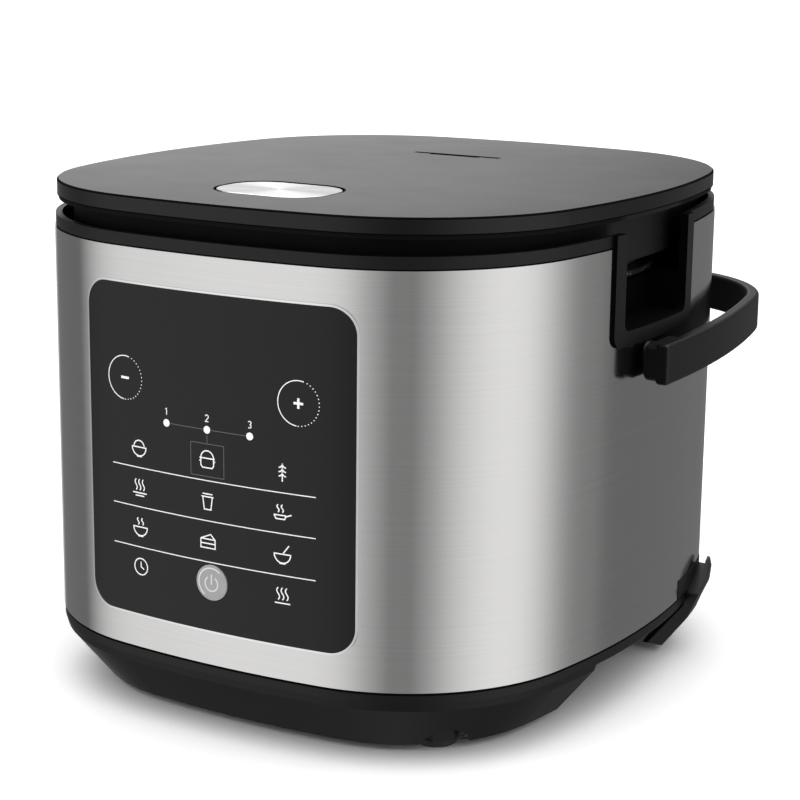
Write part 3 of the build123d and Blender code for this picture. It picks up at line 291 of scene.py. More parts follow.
@dataclass(frozen=True)
class Outline:
    """The body's plan: two side arcs and two end arcs joined by corner arcs, in millimetres."""

    agreement: ClassVar[float] = 0.95
    blend: ClassVar[float] = 28.0
    half_w: float
    half_d: float
    side_r: float
    end_r: float
    corner_r: float

    def front_y(self, x: float, grow: float) -> float:
        """Row-frame y of the front wall at a place across it, grown outward by a distance."""
        reach = self.end_r + grow
        return self.end_r - self.half_d - math.sqrt(reach**2 - x**2) + SHIFT_Y

    def arc_middles(self) -> tuple[Vector, Vector]:
        """Centres of the side arc and the end arc that the quarter with positive x and y has."""
        return Vector((self.half_w - self.side_r, 0.0)), Vector((0.0, self.half_d - self.end_r))

    def corner(self) -> Vector:
        """Centre of the corner arc in the quarter with positive x and y.

        Returns:
            The place that both arcs reach less the corner's radius.
        """
        side, end = self.arc_middles()
        side_reach, end_reach = self.side_r - self.corner_r, self.end_r - self.corner_r
        line = end - side
        along = (side_reach**2 - end_reach**2 + line.length_squared) / (2 * line.length)
        across = math.sqrt(side_reach**2 - along**2)
        ahead = line.normalized()
        return side + ahead * along + Vector((-ahead.y, ahead.x)) * across

    def side_depth(self, graph: Graph) -> Wire:
        """How far a place lies inside the side wall.

        Args:
            graph: Graph of the finish that asks.

        Returns:
            The depth in millimetres; negative outside the wall.
        """
        folded = graph.flat(graph.vector("ABSOLUTE", graph.from_middle()))
        spoke = graph.less(folded, (self.half_w - self.side_r, 0.0))
        return self.side_r - graph.length(spoke) / MM

    def wall_normal(self, graph: Graph) -> Wire:
        """Normal of an upright wall on this plan, turning smoothly where two arcs meet.

        Args:
            graph: Graph of the wall's finish.

        Returns:
            The normal; faces that don't follow the plan keep their own.
        """
        local = graph.from_middle()
        folded = graph.flat(graph.vector("ABSOLUTE", local))
        corner = self.corner()
        normal = graph.unit(graph.less(folded, corner))
        for middle, turn in zip(self.arc_middles(), (1.0, -1.0)):
            seam = (corner - middle).normalized()
            spoke = graph.less(folded, middle)
            past = graph.dot(spoke, (seam.y * turn, -seam.x * turn, 0.0))
            share = graph.step(past / MM, -self.blend, self.blend)
            normal = graph.choose(share, normal, graph.unit(spoke))
        exact = graph.vector("MULTIPLY", graph.unit(normal), graph.vector("SIGN", local))
        own = graph.node("ShaderNodeNewGeometry", out="Normal")
        agrees = graph.dot(exact, own).above(self.agreement)
        return graph.choose(agrees, own, exact)


BODY = Outline(half_w=142.5, half_d=155.5, side_r=396.0, end_r=483.0, corner_r=92.6)


@dataclass(frozen=True)
class Finish:
    """What every finish has: a main colour and the factors of its darkest and lightest shade."""

    colour: Colour
    shades: Span = (0.88, 1.05)

    def shade(self, factor: float) -> Colour:
        """The main colour, lighter or darker by a factor."""
        return tuple(min(1.0, part * factor) for part in self.colour)

    def tone(self, graph: Graph, share: Wire) -> Wire:
        """Colour between the darkest shade, at a share of 0, and the lightest."""
        dark, light = self.shades
        return graph.mix(share, self.shade(dark), self.shade(light))

    def paint(self, graph: Graph) -> None:
        """Fills the material's graph; each kind of finish has its own."""
        raise NotImplementedError


@dataclass(frozen=True)
class MouldedPlastic(Finish):
    """Plastic with the fine spark texture of its mould, faint flow marks and handling smudges."""

    shades: Span = (0.82, 1.22)
    roughness: float = 0.4
    specular: float = 0.26
    flow: float = 14.0
    texture: float = 1600.0
    touch: float = 38.0
    texture_share: float = 0.4
    depth: float = 0.00004
    smudge: float = 0.06
    sparkle: float = 0.05

    def skin(self, graph: Graph) -> dict[str, Any]:
        """The plastic as it leaves the mould.

        Args:
            graph: The material's graph.

        Returns:
            Inputs of its shader.
        """
        flow = graph.noise(self.flow, detail=3.0)
        grain = graph.noise(self.texture)
        marks = graph.noise(self.touch, detail=4.0)
        return {
            "Base Color": self.tone(graph, blended(flow, grain, self.texture_share)),
            "Roughness": uneven(self.roughness, (marks, self.smudge), (grain, self.sparkle)),
            "Specular IOR Level": self.specular,
            "Normal": graph.bump(grain, strength=0.5, depth=self.depth),
        }

    def paint(self, graph: Graph) -> None:
        """Fills the material's graph."""
        graph.surface(self.skin(graph))


@dataclass(frozen=True)
class PaintedShadePlastic(MouldedPlastic):
    """Moulded plastic with painted shade, a deeper black with little shine, in some places."""

    # colour, roughness and shine of the painted shade, and the noise that varies it
    dull: Colour = (0.0008, 0.0008, 0.0008)
    painted_shade_roughness: float = 0.85
    painted_shade_specular: float = 0.03
    bloom: float = 55.0
    bloom_span: float = 0.1

    def painted_shade_places(self, graph: Graph) -> Wire:
        """1 where shade is painted, 0 elsewhere; each kind has its own."""
        raise NotImplementedError

    def facing_middle(self, graph: Graph) -> Wire:
        """How far a face looks toward the body's upright axis, from -1 to 1."""
        outward = graph.unit(graph.flat(graph.from_middle()))
        return 0.0 - graph.dot(outward, graph.facing())

    def paint(self, graph: Graph) -> None:
        """Fills the material's graph.

        Args:
            graph: The empty graph.
        """
        # painted shade: a deeper black with little shine, mixed in by each kind's mask
        bloom = graph.noise(self.bloom, detail=3.0)
        dull = {
            "Base Color": graph.mix(bloom, self.dull, self.colour),
            "Roughness": uneven(self.painted_shade_roughness, (bloom, self.bloom_span)),
            "Specular IOR Level": self.painted_shade_specular,
        }
        graph.surface(self.skin(graph), self.painted_shade_places(graph), dull)


@dataclass(frozen=True)
class RecessPlastic(PaintedShadePlastic):
    """Frame of a side recess with painted shade on its edges and on the tray behind it, in millimetres."""

    frame_depth: float = 0.3
    turned: float = 0.7

    def painted_shade_places(self, graph: Graph) -> Wire:
        """1 where shade is painted: on the frame's edges and deeper than its front part, 0 elsewhere."""
        edge = graph.part(graph.facing(), "X").within(self.turned)
        return BODY.side_depth(graph).above(self.frame_depth).either(edge)


@dataclass(frozen=True)
class StrapPlastic(PaintedShadePlastic):
    """Handle strap with painted shade on its inner face and on its ends."""

    turned: float = 0.5
    ends: float = 0.8

    def painted_shade_places(self, graph: Graph) -> Wire:
        """1 where shade is painted: on faces that look toward the body and on the front ends, 0 elsewhere.
        """
        end = (0.0 - graph.part(graph.facing(), "Y")).above(self.ends)
        return self.facing_middle(graph).above(self.turned).either(end)


@dataclass(frozen=True)
class ShadowLinePlastic(PaintedShadePlastic):
    """Plastic with a painted shadow line where it meets the steel, in millimetres, and painted shade on its
    inner walls.
    """

    # lowest and highest height of the painted shadow line along the seam with the steel
    seam: Span = (0.0, 0.0)
    tilt: float = 0.0
    turned: float = 0.4

    def painted_shade_places(self, graph: Graph) -> Wire:
        """1 on the painted shadow line between the seam's lower and upper edge and on the shaded inner
        walls, 0 elsewhere.

        Args:
            graph: The material's graph.

        Returns:
            The mask.
        """
        local = graph.from_middle()
        height = (graph.part(local, "Z") - self.tilt * graph.part(local, "Y")) / MM
        return height.inside(self.seam).either(self.facing_middle(graph).above(self.turned))


@dataclass(frozen=True)
class TrayPlastic(PaintedShadePlastic):
    """Tray under the lid, with painted shade on its upright walls except beside the recesses, in
    millimetres.
    """

    turned: float = 0.7
    recess_y: float = -3.2
    recess_reach: Span = (26.0, 36.0)

    def painted_shade_places(self, graph: Graph) -> Wire:
        """1 where shade is painted: on the upright walls away from the recesses, 0 elsewhere.

        Args:
            graph: The material's graph.

        Returns:
            The mask.
        """
        upright = graph.part(graph.facing(), "Z").within(self.turned)
        off = graph.part(graph.from_middle(), "Y") / MM - self.recess_y
        near, far = self.recess_reach
        return upright * graph.step(off * off, near**2, far**2)


@dataclass(frozen=True)
class LidPlastic(PaintedShadePlastic):
    """Lid top with painted shadow round the button, along the steam slot and on two edges of its band, in
    millimetres.
    """

    button_flat: Point2 = (10.5, 3.0)
    button_reach: float = 19.4
    slot: Point2 = (0.0, 62.7 + SHIFT_Y)
    slot_half: Point2 = (24.9, 2.2)
    # heights of the painted shadow lines along the band's two edges
    band_edges: tuple[Span, ...] = ((236.1, 236.9), (243.0, 243.88))

    def painted_shade_places(self, graph: Graph) -> Wire:
        """1 where shadow is painted, 0 elsewhere.

        Args:
            graph: The material's graph.

        Returns:
            The mask.
        """
        place = graph.place()
        flat = graph.flat(place)
        folded = graph.vector("ABSOLUTE", graph.less(flat, BUTTON_AT))
        beyond = graph.less(folded, self.button_flat)
        past = graph.vector("MAXIMUM", beyond, (0.0, 0.0, 0.0))
        dark = graph.length(past).within(self.button_reach * MM)
        away = graph.less(flat, self.slot)
        half_x, half_y = self.slot_half
        slot = graph.part(away, "X").within(half_x * MM) * graph.part(away, "Y").within(half_y * MM)
        dark = dark.either(slot)
        height = graph.part(place, "Z") / MM
        for edge in self.band_edges:
            dark = dark.either(height.inside(edge))
        return dark


@dataclass(frozen=True)
class BrushedSteel(Finish):
    """Sheet steel brushed along the horizontal."""

    shades: Span = (0.93, 1.06)
    roughness: float = 0.14
    along: float = 9.0
    across: float = 2600.0
    long_along: float = 3.0
    long_across: float = 650.0
    long_share: float = 0.15
    patches: float = 7.0
    depth: float = 0.00002
    spread: float = 0.5
    lean: float = 0.25

    def paint(self, graph: Graph) -> None:
        """Fills the material's graph.

        Args:
            graph: The empty graph.
        """
        short = graph.noise((self.along, self.along, self.across))
        long = graph.noise((self.long_along, self.long_along, self.long_across), detail=3.0)
        streak = blended(short, long, self.long_share)
        graph.surface({
            "Base Color": self.tone(graph, streak),
            "Metallic": 1.0,
            "Roughness": uneven(self.roughness, (streak, 0.10), (graph.noise(self.patches), 0.04)),
            "Anisotropic": self.spread,
            "Anisotropic Rotation": self.lean,
            "Normal": graph.bump(streak, 0.15, self.depth, BODY.wall_normal(graph)),
        })


@dataclass(frozen=True)
class SpunMetal(Finish):
    """Metal brushed in circles round an upright axis, whose place is in millimetres."""

    shades: Span = (0.84, 1.14)
    middle: Point2 = (0.0, 0.0)
    roughness: float = 0.3
    rings: float = 2200.0
    wear: float = 60.0
    depth: float = 0.00002
    spread: float = 0.8
    swirl: float = 0.25

    def paint(self, graph: Graph) -> None:
        """Fills the material's graph.

        Args:
            graph: The empty graph.
        """
        shifted = graph.less(graph.place(), self.middle)
        line = graph.rings(graph.length(graph.flat(shifted)) * self.rings)
        wear = graph.noise(self.wear, detail=3.0)
        graph.surface({
            "Base Color": self.tone(graph, line),
            "Metallic": 1.0,
            "Roughness": uneven(self.roughness, (line, 0.12), (wear, 0.06)),
            "Anisotropic": self.spread,
            "Anisotropic Rotation": self.swirl,
            "Normal": graph.bump(line, strength=0.3, depth=self.depth),
        })


@dataclass(frozen=True)
class CastMetal(Finish):
    """Metal with a fine cast or plated skin and dull patches."""

    shades: Span = (0.8, 1.15)
    roughness: float = 0.35
    grain: float = 900.0
    grain_share: float = 0.4
    patches: float = 45.0
    depth: float = 0.00004

    def paint(self, graph: Graph) -> None:
        """Fills the material's graph.

        Args:
            graph: The empty graph.
        """
        grain = graph.noise(self.grain, detail=3.0)
        patch = graph.noise(self.patches, detail=3.0)
        graph.surface({
            "Base Color": self.tone(graph, blended(patch, grain, self.grain_share)),
            "Metallic": 1.0,
            "Roughness": uneven(self.roughness, (patch, 0.14), (grain, 0.06)),
            "Normal": graph.bump(grain, strength=0.4, depth=self.depth),
        })


@dataclass(frozen=True)
class GlossPanel(Finish):
    """Tinted panel with a smooth clear face, a breath of dust and faint wipe marks."""

    shades: Span = (1.0, 3.0)
    roughness: float = 0.24
    coat: float = 0.12
    dust: float = 2400.0
    dust_from: float = 0.74
    dust_share: float = 0.25
    wipes: Point3 = (22.0, 22.0, 130.0)

    def paint(self, graph: Graph) -> None:
        """Fills the material's graph.

        Args:
            graph: The empty graph.
        """
        dust = graph.noise(self.dust).above(self.dust_from)
        graph.surface({
            "Base Color": self.tone(graph, dust * self.dust_share),
            "Roughness": uneven(self.roughness, (graph.noise(self.wipes, detail=3.0), 0.08)),
            "Specular IOR Level": 0.18,
            "Coat Weight": self.coat,
            "Coat Roughness": 0.12,
        })


@dataclass(frozen=True)
class PowerKey(Finish):
    """Turned grey key with a pale power sign and a part ring, in millimetres and degrees."""

    shades: Span = (0.86, 1.14)
    roughness: float = 0.37
    mark: Colour = (0.56, 0.56, 0.56)
    middle: Point2 = (0.0, 74.9)
    line: float = 0.62
    ring_r: float = 6.8
    ring_gap_at: float = -36.5
    ring_gap_half: float = 86.5
    sign_r: float = 3.4
    sign_drop: float = 0.45
    sign_open: float = 33.0
    bar_middle: float = 2.0
    bar_half: float = 2.35
    lathe: float = 2.4

    def paint(self, graph: Graph) -> None:
        """Fills the material's graph.

        Args:
            graph: The empty graph.
        """
        place = graph.place()
        across = graph.part(place, "X") / MM - self.middle[0]
        up = graph.part(place, "Z") / MM - self.middle[1]
        low = up + self.sign_drop
        half = self.line / 2
        reach = (across * across + up * up) ** 0.5
        turn = (across * across + low * low) ** 0.5
        lean, spread, part = (
            math.radians(a) for a in (self.ring_gap_at, self.ring_gap_half, self.sign_open)
        )
        toward = across * math.cos(lean) + up * math.sin(lean)
        ring = (reach - self.ring_r).within(half) * (1 - toward.above(reach * math.cos(spread)))
        bow = (turn - self.sign_r).within(half) * (1 - low.above(turn * math.cos(part)))
        bar = across.within(half) * (low - self.bar_middle).within(self.bar_half)
        lathe = graph.rings(reach * self.lathe)
        graph.surface({
            "Base Color": graph.mix(ring + bow + bar, self.tone(graph, lathe), self.mark),
            "Roughness": uneven(self.roughness, (lathe, 0.1)),
            "Normal": graph.bump(lathe, strength=0.3, depth=0.00002),
        })


@dataclass(frozen=True)
class SmoothFilm(Finish):
    """Ink, paint or a milky lens with a slightly uneven film."""

    roughness: float = 0.5
    film: float = 1500.0
    coat: float = 0.0

    def paint(self, graph: Graph) -> None:
        """Fills the material's graph.

        Args:
            graph: The empty graph.
        """
        film = graph.noise(self.film)
        graph.surface({
            "Base Color": self.tone(graph, film),
            "Roughness": uneven(self.roughness, (film, 0.1)),
            "Coat Weight": self.coat,
        })


@dataclass(frozen=True)
class BackdropPaper(Finish):
    """Evenly lit paper of the studio's wall."""

    def paint(self, graph: Graph) -> None:
        """Fills the material's graph."""
        colour = rgba(self.colour)
        graph.surface({"Base Color": colour, "Emission Color": colour, "Emission Strength": 1.0})


@dataclass(frozen=True)
class SoftRubber(Finish):
    """Matt rubber or silicone with a dusty bloom."""

    shades: Span = (0.8, 1.35)
    roughness: float = 0.75
    bloom: float = 55.0
    skin: float = 1300.0
    depth: float = 0.00005

    def paint(self, graph: Graph) -> None:
        """Fills the material's graph.

        Args:
            graph: The empty graph.
        """
        bloom = graph.noise(self.bloom, detail=4.0)
        graph.surface({
            "Base Color": self.tone(graph, bloom),
            "Roughness": uneven(self.roughness, (bloom, 0.12)),
            "Normal": graph.bump(graph.noise(self.skin), strength=0.4, depth=self.depth),
        })


@dataclass(frozen=True)
class SpeckledCoating(Finish):
    """Dark non-stick coating with pale mineral specks."""

    speck: Colour = (0.2, 0.2, 0.205)
    ground: float = 0.9
    roughness: float = 0.38
    specks: float = 900.0
    specks_from: float = 0.68
    patches: float = 30.0
    depth: float = 0.00003

    def paint(self, graph: Graph) -> None:
        """Fills the material's graph.

        Args:
            graph: The empty graph.
        """
        specks = graph.noise(self.specks).above(self.specks_from)
        cloud = graph.noise(self.patches, detail=3.0)
        graph.surface({
            "Base Color": graph.mix(specks * 0.6 + cloud * 0.06, self.shade(self.ground), self.speck),
            "Roughness": uneven(self.roughness, (cloud, 0.12), (specks, 0.08)),
            "Specular IOR Level": 0.2,
            "Normal": graph.bump(specks, strength=0.3, depth=self.depth),
        })


@dataclass(frozen=True)
class SolderMask(Finish):
    """Circuit board with copper runs showing through its lacquer."""

    copper: Colour = (0.1, 0.3, 0.08)
    roughness: float = 0.32
    pitch: float = 260.0
    weave: float = 1800.0
    depth: float = 0.00003

    def paint(self, graph: Graph) -> None:
        """Fills the material's graph.

        Args:
            graph: The empty graph.
        """
        grid = graph.stretched((self.pitch, self.pitch, self.pitch))
        cells = graph.node(
            "ShaderNodeTexBrick",
            {"offset": 0.37, "squash": 1.6},
            {"Vector": grid, "Scale": 1.0, "Mortar Size": 0.06},
            "Fac",
        )
        weave = graph.noise(self.weave)
        graph.surface({
            "Base Color": graph.mix(cells * 0.7 + weave * 0.15, self.colour, self.copper),
            "Roughness": uneven(self.roughness, (weave, 0.12)),
            "Normal": graph.bump(cells, strength=0.4, depth=self.depth),
        })


class Slot(Enum):
    """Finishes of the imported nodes, the printed marks and the studio."""

    black_plastic = MouldedPlastic(BLACK)
    # painted shade on the recess frame's edges and on the tray behind it
    recess_plastic = RecessPlastic(BLACK)
    # painted shade on the strap's inner face and front ends
    strap_plastic = StrapPlastic(BLACK, painted_shade_roughness=0.65, painted_shade_specular=0.1)
    # painted shadow line under the steel's edge, and painted shade on inner walls
    base_plastic = ShadowLinePlastic(BLACK, seam=(34.7, 36.5))
    collar_plastic = ShadowLinePlastic(BLACK, seam=(223.0, 224.2), tilt=0.014)
    # painted shadow round the button, along the steam slot and on the band's edges
    lid_plastic = LidPlastic((0.0012, 0.0012, 0.0013), roughness=0.31, specular=0.28, depth=0.00002)
    # painted shade on the tray's upright walls away from the recesses
    liner_plastic = TrayPlastic(BLACK, roughness=0.45, painted_shade_roughness=0.55, painted_shade_specular=0.08)
    inner_plastic = MouldedPlastic((0.02, 0.02, 0.021), roughness=0.45, specular=0.5)
    brushed_steel = BrushedSteel((0.595, 0.59, 0.585))
    panel_gloss = GlossPanel((0.0035, 0.0035, 0.0037))
    bright_trim = CastMetal((0.74, 0.74, 0.74), roughness=0.22, grain=1500.0, depth=0.00001)
    button_metal = SpunMetal((0.70, 0.70, 0.70), middle=BUTTON_AT)
    grey_key = PowerKey((0.27, 0.27, 0.275))
    lamp = SmoothFilm((0.80, 0.80, 0.78), (0.9, 1.1), roughness=0.25, film=700.0, coat=0.5)
    marks_ink = SmoothFilm((0.80, 0.80, 0.80))
    faint_ink = SmoothFilm((0.09, 0.09, 0.09))
    rubber = SoftRubber((0.006, 0.006, 0.006))
    silicone = SoftRubber((0.03, 0.03, 0.03), roughness=0.6)
    pot_coating = SpeckledCoating((0.004, 0.004, 0.0042))
    aluminium = SpunMetal((0.66, 0.66, 0.68), middle=(0.0, SHIFT_Y), roughness=0.36, rings=700.0)
    heater_steel = CastMetal((0.38, 0.38, 0.39), roughness=0.42)
    circuit_board = SolderMask((0.012, 0.10, 0.035))
    fastener = CastMetal((0.55, 0.55, 0.56), roughness=0.3)
    contact_brass = CastMetal((0.72, 0.58, 0.28), roughness=0.26)
    floor_paint = SmoothFilm((0.93, 0.93, 0.93), roughness=0.9)
    wall_paper = BackdropPaper((1.0, 1.0, 1.0))

    @cached_property
    def material(self) -> bpy.types.Material:
        """The finish as a material, made once and then reused.

        Returns:
            The material.
        """
        made = bpy.data.materials.new(f"finish_{self.name}")
        made.use_nodes = True
        self.value.paint(Graph(made.node_tree))
        return made


class SubAssembly:
    """What every sub-assembly has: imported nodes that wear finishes, and pieces of its own."""

    wears: ClassVar[dict[Slot, tuple[str, ...]]] = {}

    def dress(self) -> None:
        """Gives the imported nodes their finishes."""
        for slot, nodes in self.wears.items():
            for name in nodes:
                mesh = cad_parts[name].data
                mesh.materials.clear()
                mesh.materials.append(slot.material)
                LOG.info("%s wears %s", name, slot.name)

    def build(self) -> None:
        """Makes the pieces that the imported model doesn't have; most sub-assemblies have none."""


def arc(middle: Point2, radius: float, start: float, end: float, steps: int = 24) -> Stroke:
    """Points along a circular arc from one angle to another, in degrees, over a number of spans."""
    angles = [math.radians(start + (end - start) * i / steps) for i in range(steps + 1)]
    return [(middle[0] + radius * math.cos(a), middle[1] + radius * math.sin(a)) for a in angles]


def wave(x: float, z0: float, z1: float, swing: float, steps: int = 16) -> Stroke:
    """Points along an upright wavy line at x, from z0 up to z1, that swings to each side."""
    shares = [i / steps for i in range(steps + 1)]
    return [(x + swing * math.sin(2 * math.pi * s), z0 + (z1 - z0) * s) for s in shares]


def wisps(places: Iterable[float], z0: float, z1: float, swing: float) -> list[Stroke]:
    """Upright wavy lines side by side."""
    return [wave(x, z0, z1, swing) for x in places]


def level(z: float, half: float) -> Stroke:
    """Level line that reaches as far to both sides of the middle."""
    return [(-half, z), (half, z)]


def bowl(rim: float) -> list[Stroke]:
    """Bowl with its rim at a height."""
    return [level(rim, 1.0), arc((0, rim), 0.95, 180, 360), level(rim - 1.0, 0.35)]


def leaves(z: float) -> list[Stroke]:
    """Two leaves that part from a stem at a height."""
    right = arc((0.42, z + 0.42), 0.42, 270, 180, 8)
    return [right, [(-x, up) for x, up in right]]


class Pictogram(Enum):
    """Plain line drawings for the cooking programmes, in a square from -1 to 1."""

    rice_bowl = bowl(0.05) + [arc((0, 0.05), 0.72, 10, 170)]
    grain = [[(0, -1), (0, 0.9)]] + leaves(-0.45) + leaves(0.0) + leaves(0.45)
    crock = [
        [(-0.8, 0.2), (-0.8, -0.55), (-0.6, -0.8), (0.6, -0.8), (0.8, -0.55), (0.8, 0.2)],
        level(0.2, 0.95),
        arc((0, 0.2), 0.8, 0, 180),
        [(-1, -0.1), (-0.8, -0.1)],
        [(0.8, -0.1), (1, -0.1)],
    ]
    steamer = wisps((-0.5, 0.0, 0.5), -0.3, 0.9, 0.14) + [level(-0.6, 0.95), level(-0.9, 0.6)]
    cup = [[(-0.6, 0.45), (-0.42, -0.9), (0.42, -0.9), (0.6, 0.45)], level(0.45, 0.75), level(0.75, 0.62)]
    pan = [
        [(-0.95, -0.2), (-0.75, -0.6), (0.25, -0.6), (0.45, -0.2)],
        [(-1.0, -0.2), (0.45, -0.2)],
        [(0.4, -0.3), (1.05, -0.05)],
        *wisps((-0.5, 0.0), 0.1, 0.9, 0.12),
    ]
    soup = bowl(-0.05) + wisps((-0.3, 0.3), 0.2, 0.95, 0.12)
    cake = [
        [(-0.9, 0.2), (0.9, 0.2), (0.9, -0.75), (-0.9, -0.75), (-0.9, 0.2)],
        level(-0.27, 0.9),
        [(-0.9, 0.2), (0.35, 0.75), (0.9, 0.2)],
    ]
    porridge = bowl(0.0) + [[(0.1, 0.1), (0.75, 0.95)]]
    clock = [arc((0, 0), 0.9, 0, 360, 36), [(0, 0.55), (0, 0), (0.4, -0.25)]]
    warmth = wisps((-0.5, 0.0, 0.5), -0.45, 0.85, 0.16) + [level(-0.8, 0.9)]


DIGIT_STROKES: dict[str, list[Stroke]] = {
    "1": [[(-0.3, 0.65), (0.1, 1.0), (0.1, -1.0)]],
    "2": [arc((0, 0.45), 0.55, 165, -40, 12) + [(-0.55, -1.0), (0.6, -1.0)]],
    "3": [arc((0, 0.5), 0.5, 150, -90, 12), arc((0, -0.5), 0.5, 90, -150, 12)],
}


class MarkSheet:
    """Thin raised print that follows the curve of the panel, in millimetres."""

    span: ClassVar[float] = 6.0
    sharpest: ClassVar[float] = 0.5
    dot_spans: ClassVar[int] = 20

    def __init__(self, low: float, high: float, offset: float = 0.0) -> None:
        """Starts an empty sheet.

        Args:
            low: Where the print starts outside the body's outline, in millimetres.
            high: Where its face is.
            offset: How far the print lies to the right of the panel's middle.
        """
        self.low = low
        self.high = high
        self.offset = offset
        self.mesh = bmesh.new()

    def _vertex(self, x: float, z: float, grow: float) -> bmesh.types.BMVert:
        """New vertex on the panel's curve, grown outward from the body's outline."""
        place = x + self.offset
        return self.mesh.verts.new((place * MM, BODY.front_y(place, grow) * MM, z * MM))

    def fill(self, points: Sequence[Point2]) -> None:
        """Prints one filled shape.

        Args:
            points: Its corners, anticlockwise as seen from the front.
        """
        face = [self._vertex(x, z, self.high) for x, z in points]
        back = [self._vertex(x, z, self.low) for x, z in points]
        self.mesh.faces.new(face)
        self.mesh.faces.new(back[::-1])
        count = len(points)
        for i in range(count):
            j = (i + 1) % count
            self.mesh.faces.new((face[j], face[i], back[i], back[j]))

    def dot(self, middle: Point2, radius: float) -> None:
        """Prints a round dot."""
        self.fill(arc(middle, radius, 0, 360, self.dot_spans)[:-1])

    def line(self, points: Sequence[Point2], width: float) -> None:
        """Prints a line of even width.

        Args:
            points: Its middle line.
            width: Its width.
        """
        left, right = self._edges(self._dense(points), width / 2)
        rows = []
        for a, b in zip(left, right):
            section = ((a, self.high), (b, self.high), (b, self.low), (a, self.low))
            rows.append([self._vertex(*place, grow) for place, grow in section])
        for near, far in zip(rows, rows[1:]):
            for i in range(4):
                j = (i + 1) % 4
                self.mesh.faces.new((near[i], near[j], far[j], far[i]))
        self.mesh.faces.new(rows[0][::-1])
        self.mesh.faces.new(rows[-1])

    def _dense(self, points: Sequence[Point2]) -> list[Point2]:
        """Adds points to long spans, so that a line follows the panel's curve.

        Args:
            points: The middle line.

        Returns:
            The middle line with no span longer than the sheet's span.
        """
        dense = [points[0]]
        for (x0, z0), (x1, z1) in zip(points, points[1:]):
            count = max(1, math.ceil(math.hypot(x1 - x0, z1 - z0) / self.span))
            shares = [i / count for i in range(1, count + 1)]
            dense += [(x0 + (x1 - x0) * s, z0 + (z1 - z0) * s) for s in shares]
        return dense

    def _edges(self, points: Sequence[Point2], half: float) -> tuple[list[Point2], list[Point2]]:
        """Both edges of a line, mitred at its bends.

        Args:
            points: The middle line.
            half: Half the line's width.

        Returns:
            The left and the right edge.
        """
        left, right = [], []
        last = len(points) - 1
        for i, (x, z) in enumerate(points):
            before = Vector(points[max(i - 1, 0)])
            after = Vector(points[min(i + 1, last)])
            here = Vector((x, z))
            first = (here - before).normalized() if i else (after - here).normalized()
            second = (after - here).normalized() if i < last else first
            along = (first + second).normalized()
            side = Vector((-along.y, along.x))
            reach = half / max(self.sharpest, side.dot(Vector((-first.y, first.x))))
            left.append((x + side.x * reach, z + side.y * reach))
            right.append((x - side.x * reach, z - side.y * reach))
        return left, right

    def drawing(
        self, strokes: Iterable[Sequence[Point2]], middle: Point2, half: float, width: float
    ) -> None:
        """Prints lines of a square from -1 to 1 about a middle, with half the square's real size."""
        for stroke in strokes:
            self.line([(middle[0] + x * half, middle[1] + z * half) for x, z in stroke], width)

    def piece(self, name: str, slot: Slot) -> bpy.types.Object:
        """Turns the sheet into a new object."""
        bmesh.ops.recalc_face_normals(self.mesh, faces=self.mesh.faces)
        return new_object(name, self.mesh, slot)


def new_object(name: str, mesh: bmesh.types.BMesh, slot: Slot) -> bpy.types.Object:
    """Makes an object from a mesh under construction.

    Args:
        name: Name of the object.
        mesh: The mesh, freed afterwards.
        slot: Its finish.

    Returns:
        The new object, linked to the scene.
    """
    data = bpy.data.meshes.new(name)
    mesh.to_mesh(data)
    mesh.free()
    data.materials.append(slot.material)
    made = bpy.data.objects.new(name, data)
    bpy.context.scene.collection.objects.link(made)
    LOG.info("made %s with %d faces", name, len(data.polygons))
    return made


